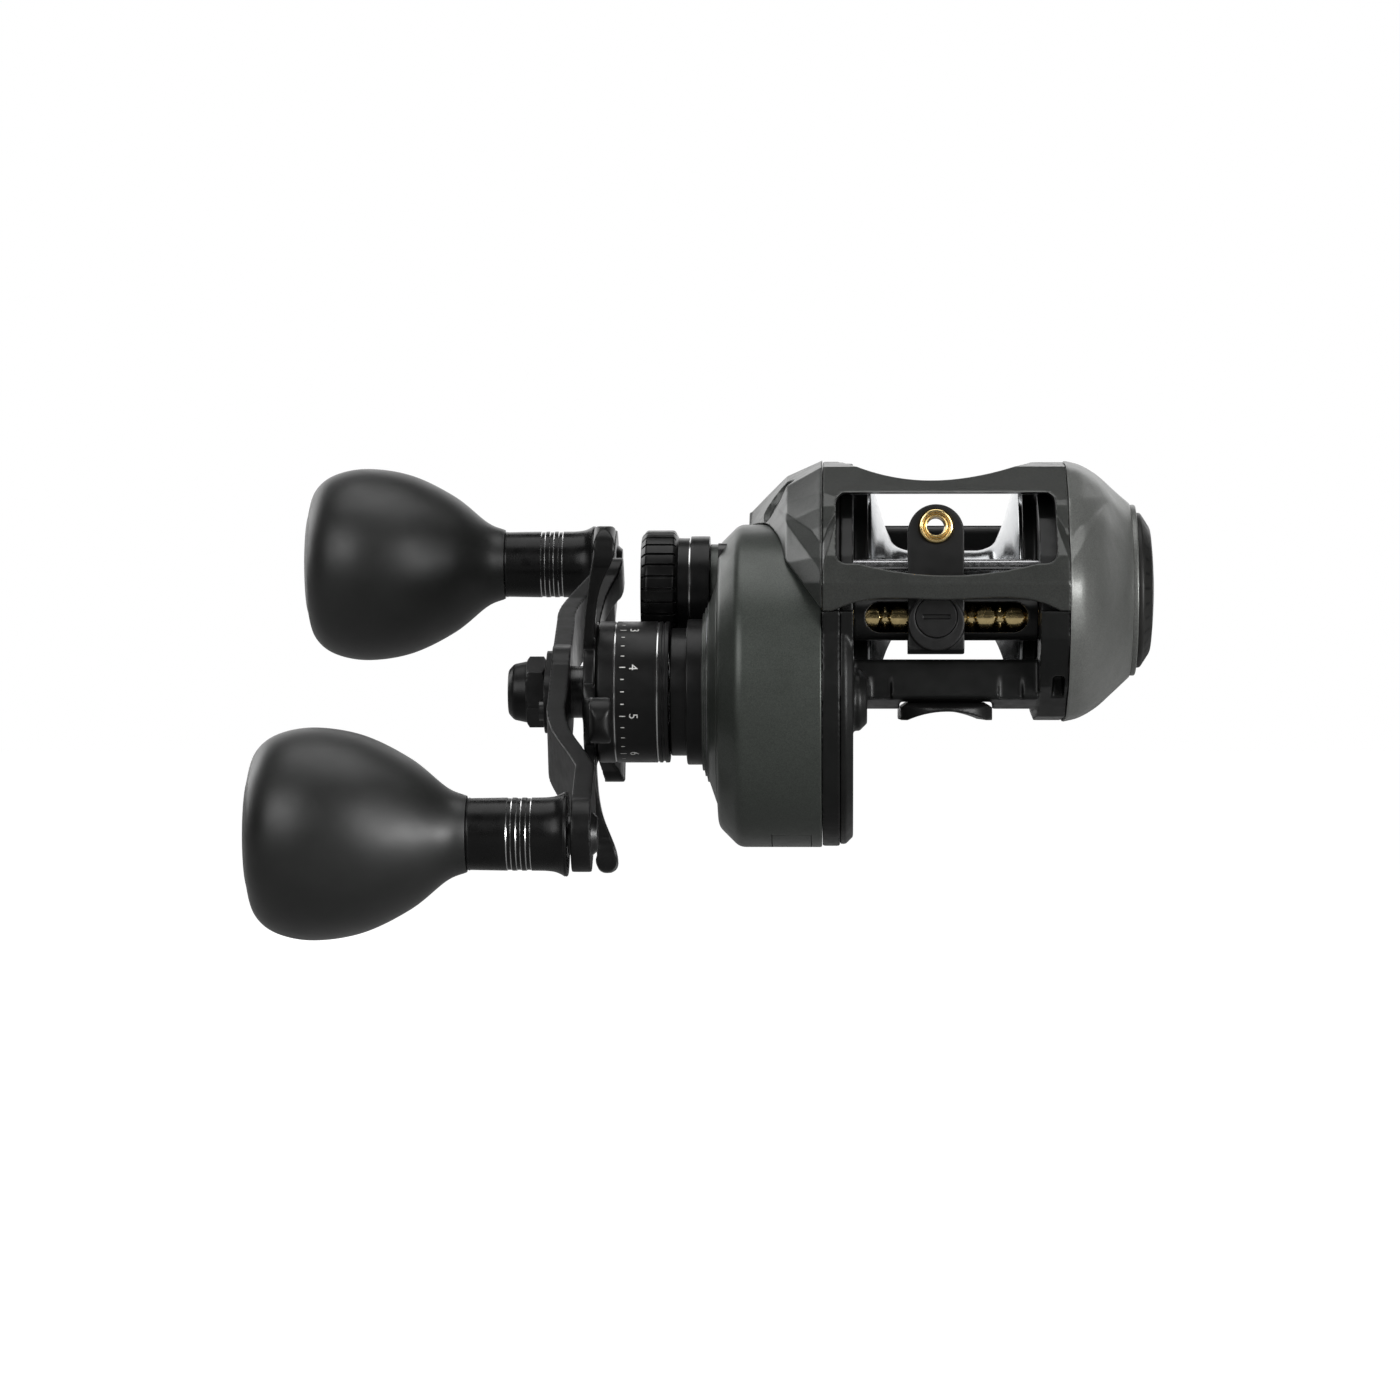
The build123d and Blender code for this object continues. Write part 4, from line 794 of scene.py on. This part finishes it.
def press(piece, start, end, tip, depth):
    """Presses a triangle of the front inwards, deepest along its first side."""
    a, b, c = Vector(start), Vector(end), Vector(tip)
    whole = (b - a).cross(c - a)
    for vertex in piece.data.vertices:
        at = Vector((vertex.co.x, vertex.co.z)) / MM
        first, second = (b - at).cross(c - at) / whole, (c - at).cross(a - at) / whole
        inside = first > 0 and second > 0 and first + second < SCOOP_REACH
        if inside and vertex.co.y < FRONT_Y * MM:
            push = min(1.0, SCOOP_SIDES * min(first, second)) * depth
            vertex.co += SCOOP_WAY * push * MM


def dent(piece, near, along, radii, depth):
    """Presses an oval recess with a steep rim into a skin, at the skin's point nearest a place."""
    _, centre, normal, _ = piece.closest_point_on_mesh(Vector(near) * MM)
    centre /= MM
    beside = normal.cross(Vector(along)).normalized()
    along = beside.cross(normal)
    for vertex in piece.data.vertices:
        off = vertex.co / MM - centre
        reach = sqrt((off.dot(along) / radii[0]) ** 2 + (off.dot(beside) / radii[1]) ** 2)
        if reach < 1 and abs(off.dot(normal)) < 2.0:
            vertex.co -= normal * depth * MM * min(1.0, (1 - reach) / 0.16)


def make_palm_plate():
    """Palm-side cover: smooth dome, raised ring, inner web with its spigot, and bearing hub."""
    reach = soft_outline(5)
    stations = [PALM_SEAM + 0.25 * k for k in range(1, 45)]

    def dome(x, radius, angle):
        if radius < ON_DOME:
            return radius
        outer = reach[round(angle / tau * DOME_SEGMENTS) % DOME_SEGMENTS]
        return outer + taper_at(x) * (PALM_RING_R - outer) - (radius - ON_DOME)

    section = [Vector((PALM_SEAM, ON_DOME + 0.12))] + [Vector((x, ON_DOME)) for x in stations]
    ring = [(30.45, PALM_RING_R, 0.05), (PALM_OUT, PALM_RING_R, 0.3), (PALM_OUT, 2.6), (27, 2.6), (27, 0)]
    hub = [(26, 0), (26, 2.2), (23.6, 2.2), (23.6, 5.0), (19.2, 5.0, 0.2), (19.2, 6.4, 0.2), (29.4, 6.4)]
    section += rounded(ring) + rounded(hub) + [Vector((29.4, 12.2))]
    section += [Vector((x, ON_DOME + 1.8)) for x in reversed(stations) if 20.5 < x < 28.6]
    section += rounded([(20.5, 16.9), (16.8, 16.9, 0.3), (16.8, 18.35, 0.3), (PALM_SEAM, 18.35)])
    section.append(Vector((PALM_SEAM, ON_DOME + 1.0)))
    plate = lathe("palm_plate_skin", section, SPOOL, dome, DOME_SEGMENTS)
    for scoop in PALM_SCOOPS:
        press(plate, *scoop)
    dress(plate, "palm_paint", "palm_plate", "palm_plate", sharp=50)


# Shallow panels sunk into the frame's front bar
BAR_PANELS = ((-12.1, -8.7), (8.3, 12.1))
BAR_PANEL_FLOOR = -24.25
BAR_PANEL_HEIGHT = (3.4, 7.3)

# Oval recess of the shoulder: a place off the skin, the oval's long direction, radii and depth
SHOULDER_OVAL = ((-32.0, -13.0, 39.0), (0.7, 0.0, 0.7), (4.2, 2.6), 0.9)


def make_shells():
    """Frame, covers and foot, each cast as one softened skin."""
    bottom, top = BAR_PANEL_HEIGHT
    panels = [
        block("panel", (left, -30, bottom), (right, BAR_PANEL_FLOOR, top)) for left, right in BAR_PANELS
    ]
    for node, look, voxel, rounds, tools in (
        ("frame", "frame_paint", 0.24, 3, panels),
        ("gear_side_base", "frame_paint", 0.24, 2, ()),
        ("shoulder_cover", "shoulder_paint", 0.2, 3, ()),
        ("nose_cover", "nose_paint", 0.2, 4, ()),
        ("reel_foot", "foot_black", 0.2, 4, ()),
        ("thumb_bar", "thumb_rubber", 0.15, 4, ()),
        ("service_panel", "cover_paint", 0.12, 2, ()),
    ):
        piece = recast(node + "_skin", node, voxel, rounds, tools)
        if node == "shoulder_cover":
            for scoop in SHOULDER_SCOOPS:
                press(piece, *scoop)
            dent(piece, *SHOULDER_OVAL)
        if node == "nose_cover":
            for scoop in NOSE_SCOOPS:
                press(piece, *scoop)
        dress(piece, look, "thumb_bar" if node == "thumb_bar" else "frame", node, sharp=50)
    make_palm_plate()


# ---------------------------------------------------------------- brake dial

DIAL_TICKS = 30
DIAL_RIM_SLOPE = atan2(2.5, 1.6)
DIAL_MARK_R = 11.53
DIAL_MARK_X = 32.88


def make_dial():
    """Brake dial: conical rim with printed marks, and a shallow dome."""
    rim = [(28.6, 0), (28.6, 2.55), (31.35, 2.55), (31.35, 12.7, 0.15), (32.1, 12.7, 0.35), (33.7, 10.2, 0.5)]
    dome = [(34.0, 7.5, 0.8), (34.3, 3.5, 0.8), (34.3, 0)]
    dial = lathe("brake_dial_skin", rounded(rim + dome), SPOOL, segments=180)
    dress(dial, "dial_paint", "brake_dial", "brake_dial")
    marks = []
    for k in range(DIAL_TICKS):
        mark = tick("mark", 1.7 if k % 3 == 0 else 1.2, 0.4)
        for vertex in mark.data.vertices:
            x, y, z = vertex.co
            vertex.co = Vector((x, y * cos(DIAL_RIM_SLOPE), z * 1.2 - y * sin(DIAL_RIM_SLOPE)))
        wrap(mark, DIAL_MARK_R, SPOOL, tau * k / DIAL_TICKS, DIAL_MARK_X)
        marks.append(mark)
    scale = gather("dial_marks", marks)
    dress(scale, "dial_paint", "brake_dial")
    scale.data.materials[0] = LOOKS["star_black"]


# ---------------------------------------------------------------- level wind and spool

WORM_PITCH = 4.56
WORM_HALF_THREAD = 12.6
WORM_SHIFT = 1.64  # moves the crossings along the worm
WORM_GROOVE_DEPTH = 0.7
WORM_GROOVE_SIDE = 0.36  # half of the groove's flat floor, and the width of each sloping side


def make_worm():
    """Worm with two crossing helical grooves, and its journals."""
    low, high = span("worm_shaft")

    def grooved(x, radius, angle):
        if abs(x) > WORM_HALF_THREAD or radius < 2:
            return radius
        deep = 0.0
        for hand in (-1, 1):
            phase = ((x - WORM_SHIFT) / WORM_PITCH + hand * angle / tau) % 1
            off = min(phase, 1 - phase) * WORM_PITCH
            deep = max(deep, min(1.0, 2.0 - off / WORM_GROOVE_SIDE))
        return radius - WORM_GROOVE_DEPTH * deep

    section = [(low.x, 0), (low.x, 1.5, 0.2), (-13, 1.5), (-13, 2.1, 0.15), (13, 2.1, 0.15), (13, 1.5)]
    section += [(high.x, 1.5, 0.2), (high.x, 0)]
    worm = lathe("worm_skin", finely(rounded(section), 0.16), WORM, grooved, 120)
    dress(worm, "worm_gold", "worm", "worm_shaft", sharp=40)


def make_level_wind():
    """Worm, its slotted tube, the line guide and its gold ring."""
    make_worm()
    dress(recast("worm_tube_skin", "worm_tube", 0.15, 3), "frame_paint", "frame", "worm_tube", sharp=50)
    slider = recast("line_guide_skin", "line_guide", 0.15, 6)
    dress(slider, "guide_plastic", "line_guide", "line_guide", sharp=60)
    dress(recast("pawl_cap_skin", "pawl_cap", 0.1, 3), "guide_plastic", "line_guide", "pawl_cap", sharp=50)
    low, high = span("guide_insert")
    front, back = low.y, high.y
    mouth = [(front + 0.9, 2.7), (front + 0.1, 2.68, 0.25), (front, 2.2, 0.15), (front + 0.7, 2.15, 0.1)]
    mouth += [(front + 0.7, 1.85, 0.1), (front + 0.15, 1.8, 0.15), (front + 0.15, 1.45, 0.2)]
    mouth += [(back - 1.2, 1.35, 0.5), (back, 1.8, 0.2), (back, 2.1, 0.1)]
    mouth += [(front + 1.7, 2.1), (front + 1.7, 2.7)]
    ring = lathe("guide_ring", rounded(mouth), (0, 0), segments=120)
    centre = (low + high) / 2
    move = Matrix.Translation(Vector((centre.x, 0, centre.z)) * MM)
    ring.data.transform(move @ Matrix.Rotation(pi / 2, 4, "Z"))
    dress(ring, "guide_gold", "line_guide", "guide_insert", sharp=45)


def make_spool():
    """Polished spool: thin tapered flanges and a flared arbor."""
    flange = [(13.0, 17.8, 0.1), (11.9, 17.8, 0.3), (11.0, 15.3, 0.8), (9.5, 10.2, 1.5)]
    flange += [(8.1, 7.3, 0.9), (6.0, 6.5, 0.8)]
    hollow = [(8.2, 2.0), (8.2, 5.9), (10.9, 10.4, 0.5), (12.3, 15.6, 0.4), (13.0, 16.6)]
    outside = flange + [(-x, r, *soft) for x, r, *soft in reversed(flange)]
    inside = [(-x, r, *soft) for x, r, *soft in reversed(hollow)] + hollow
    spool = lathe("spool_skin", rounded(outside + inside), SPOOL, segments=200)
    dress(spool, "spool_metal", "spool", "spool", sharp=35)


# ---------------------------------------------------------------- camera, light and floor

CAMERA_TARGET = Vector((-39.5, -12.3, 3.2)) * MM
CAMERA_DISTANCE = 800 * MM
CAMERA_SWING = radians(1.66)
VIEW_WIDTH = 226 * MM
FLOOR_Z = -68 * MM


def make_camera():
    data = bpy.data.cameras.new("camera")
    data.sensor_width = 36
    data.lens = 36 * CAMERA_DISTANCE / VIEW_WIDTH
    data.clip_start = 0.01
    camera = bpy.data.objects.new("camera", data)
    camera.location = CAMERA_TARGET + CAMERA_DISTANCE * Vector((sin(CAMERA_SWING), -cos(CAMERA_SWING), 0))
    camera.rotation_euler = (pi / 2, 0, CAMERA_SWING)
    bpy.context.collection.objects.link(camera)
    bpy.context.scene.camera = camera


def softbox(name, place, size, power, target=(-30, -10, 5)):
    """A square area light at a place in millimetres, turned to its target."""
    data = bpy.data.lights.new(name, "AREA")
    data.shape = "RECTANGLE"
    data.size, data.size_y = size[0] * MM, size[1] * MM
    data.energy = power
    light = bpy.data.objects.new(name, data)
    light.location = Vector(place) * MM
    aim = (Vector(target) * MM - light.location).to_track_quat("-Z", "Y")
    light.rotation_euler = aim.to_euler()
    bpy.context.collection.objects.link(light)


def make_world():
    """Even white surroundings for the camera, dimmer ones for what the reel reflects."""
    world = bpy.data.worlds.new("studio")
    bpy.context.scene.world = world
    world.use_nodes = True
    tree = world.node_tree
    seen = tree.nodes["Background"]
    seen.inputs["Color"].default_value = rgb(1, 1, 1)
    around = tree.nodes.new("ShaderNodeBackground")
    around.inputs["Color"].default_value = rgb(1, 1, 1)
    around.inputs["Strength"].default_value = 0.035
    ray = tree.nodes.new("ShaderNodeLightPath")
    pick = tree.nodes.new("ShaderNodeMixShader")
    tree.links.new(ray.outputs["Is Camera Ray"], pick.inputs["Fac"])
    tree.links.new(around.outputs["Background"], pick.inputs[1])
    tree.links.new(seen.outputs["Background"], pick.inputs[2])
    tree.links.new(pick.outputs["Shader"], tree.nodes["World Output"].inputs["Surface"])


def make_floor():
    """A plain pale floor well below the reel, which its foot holds up."""
    bpy.ops.mesh.primitive_plane_add(size=12, location=(0, 0, FLOOR_Z))
    floor = bpy.context.object
    floor.name = "floor"
    pale = Shader("pale_floor")
    pale.set(Base_Color=rgb(0.30, 0.30, 0.30), Roughness=0.9, Emission_Color=rgb(1, 1, 1))
    seen = pale.add("ShaderNodeLightPath").outputs["Is Camera Ray"]
    pale.set(Emission_Strength=seen)
    floor.data.materials.append(pale.material)


def light_the_studio():
    softbox("left_box", (-420, -560, 260), (420, 420), 2.2)
    softbox("right_box", (380, -600, 200), (380, 420), 1.8)
    softbox("low_right_box", (520, -330, -20), (360, 200), 4, (20, -20, 10))
    softbox("rim_box", (-620, 430, 260), (380, 380), 1.6, (-70, -10, 0))
    softbox("top_box", (-40, -40, 640), (700, 500), 2.3)
    softbox("back_box", (-40, 620, 240), (900, 500), 1.9)
    make_world()
    make_floor()
    bpy.context.scene.view_settings.view_transform = "Standard"


# ---------------------------------------------------------------- the scene

dress_cad_nodes()
make_knobs()
make_star()
make_crank()
make_cast_cap()
make_gear_cover()
make_shells()
make_dial()
make_level_wind()
make_spool()
make_camera()
light_the_studio()
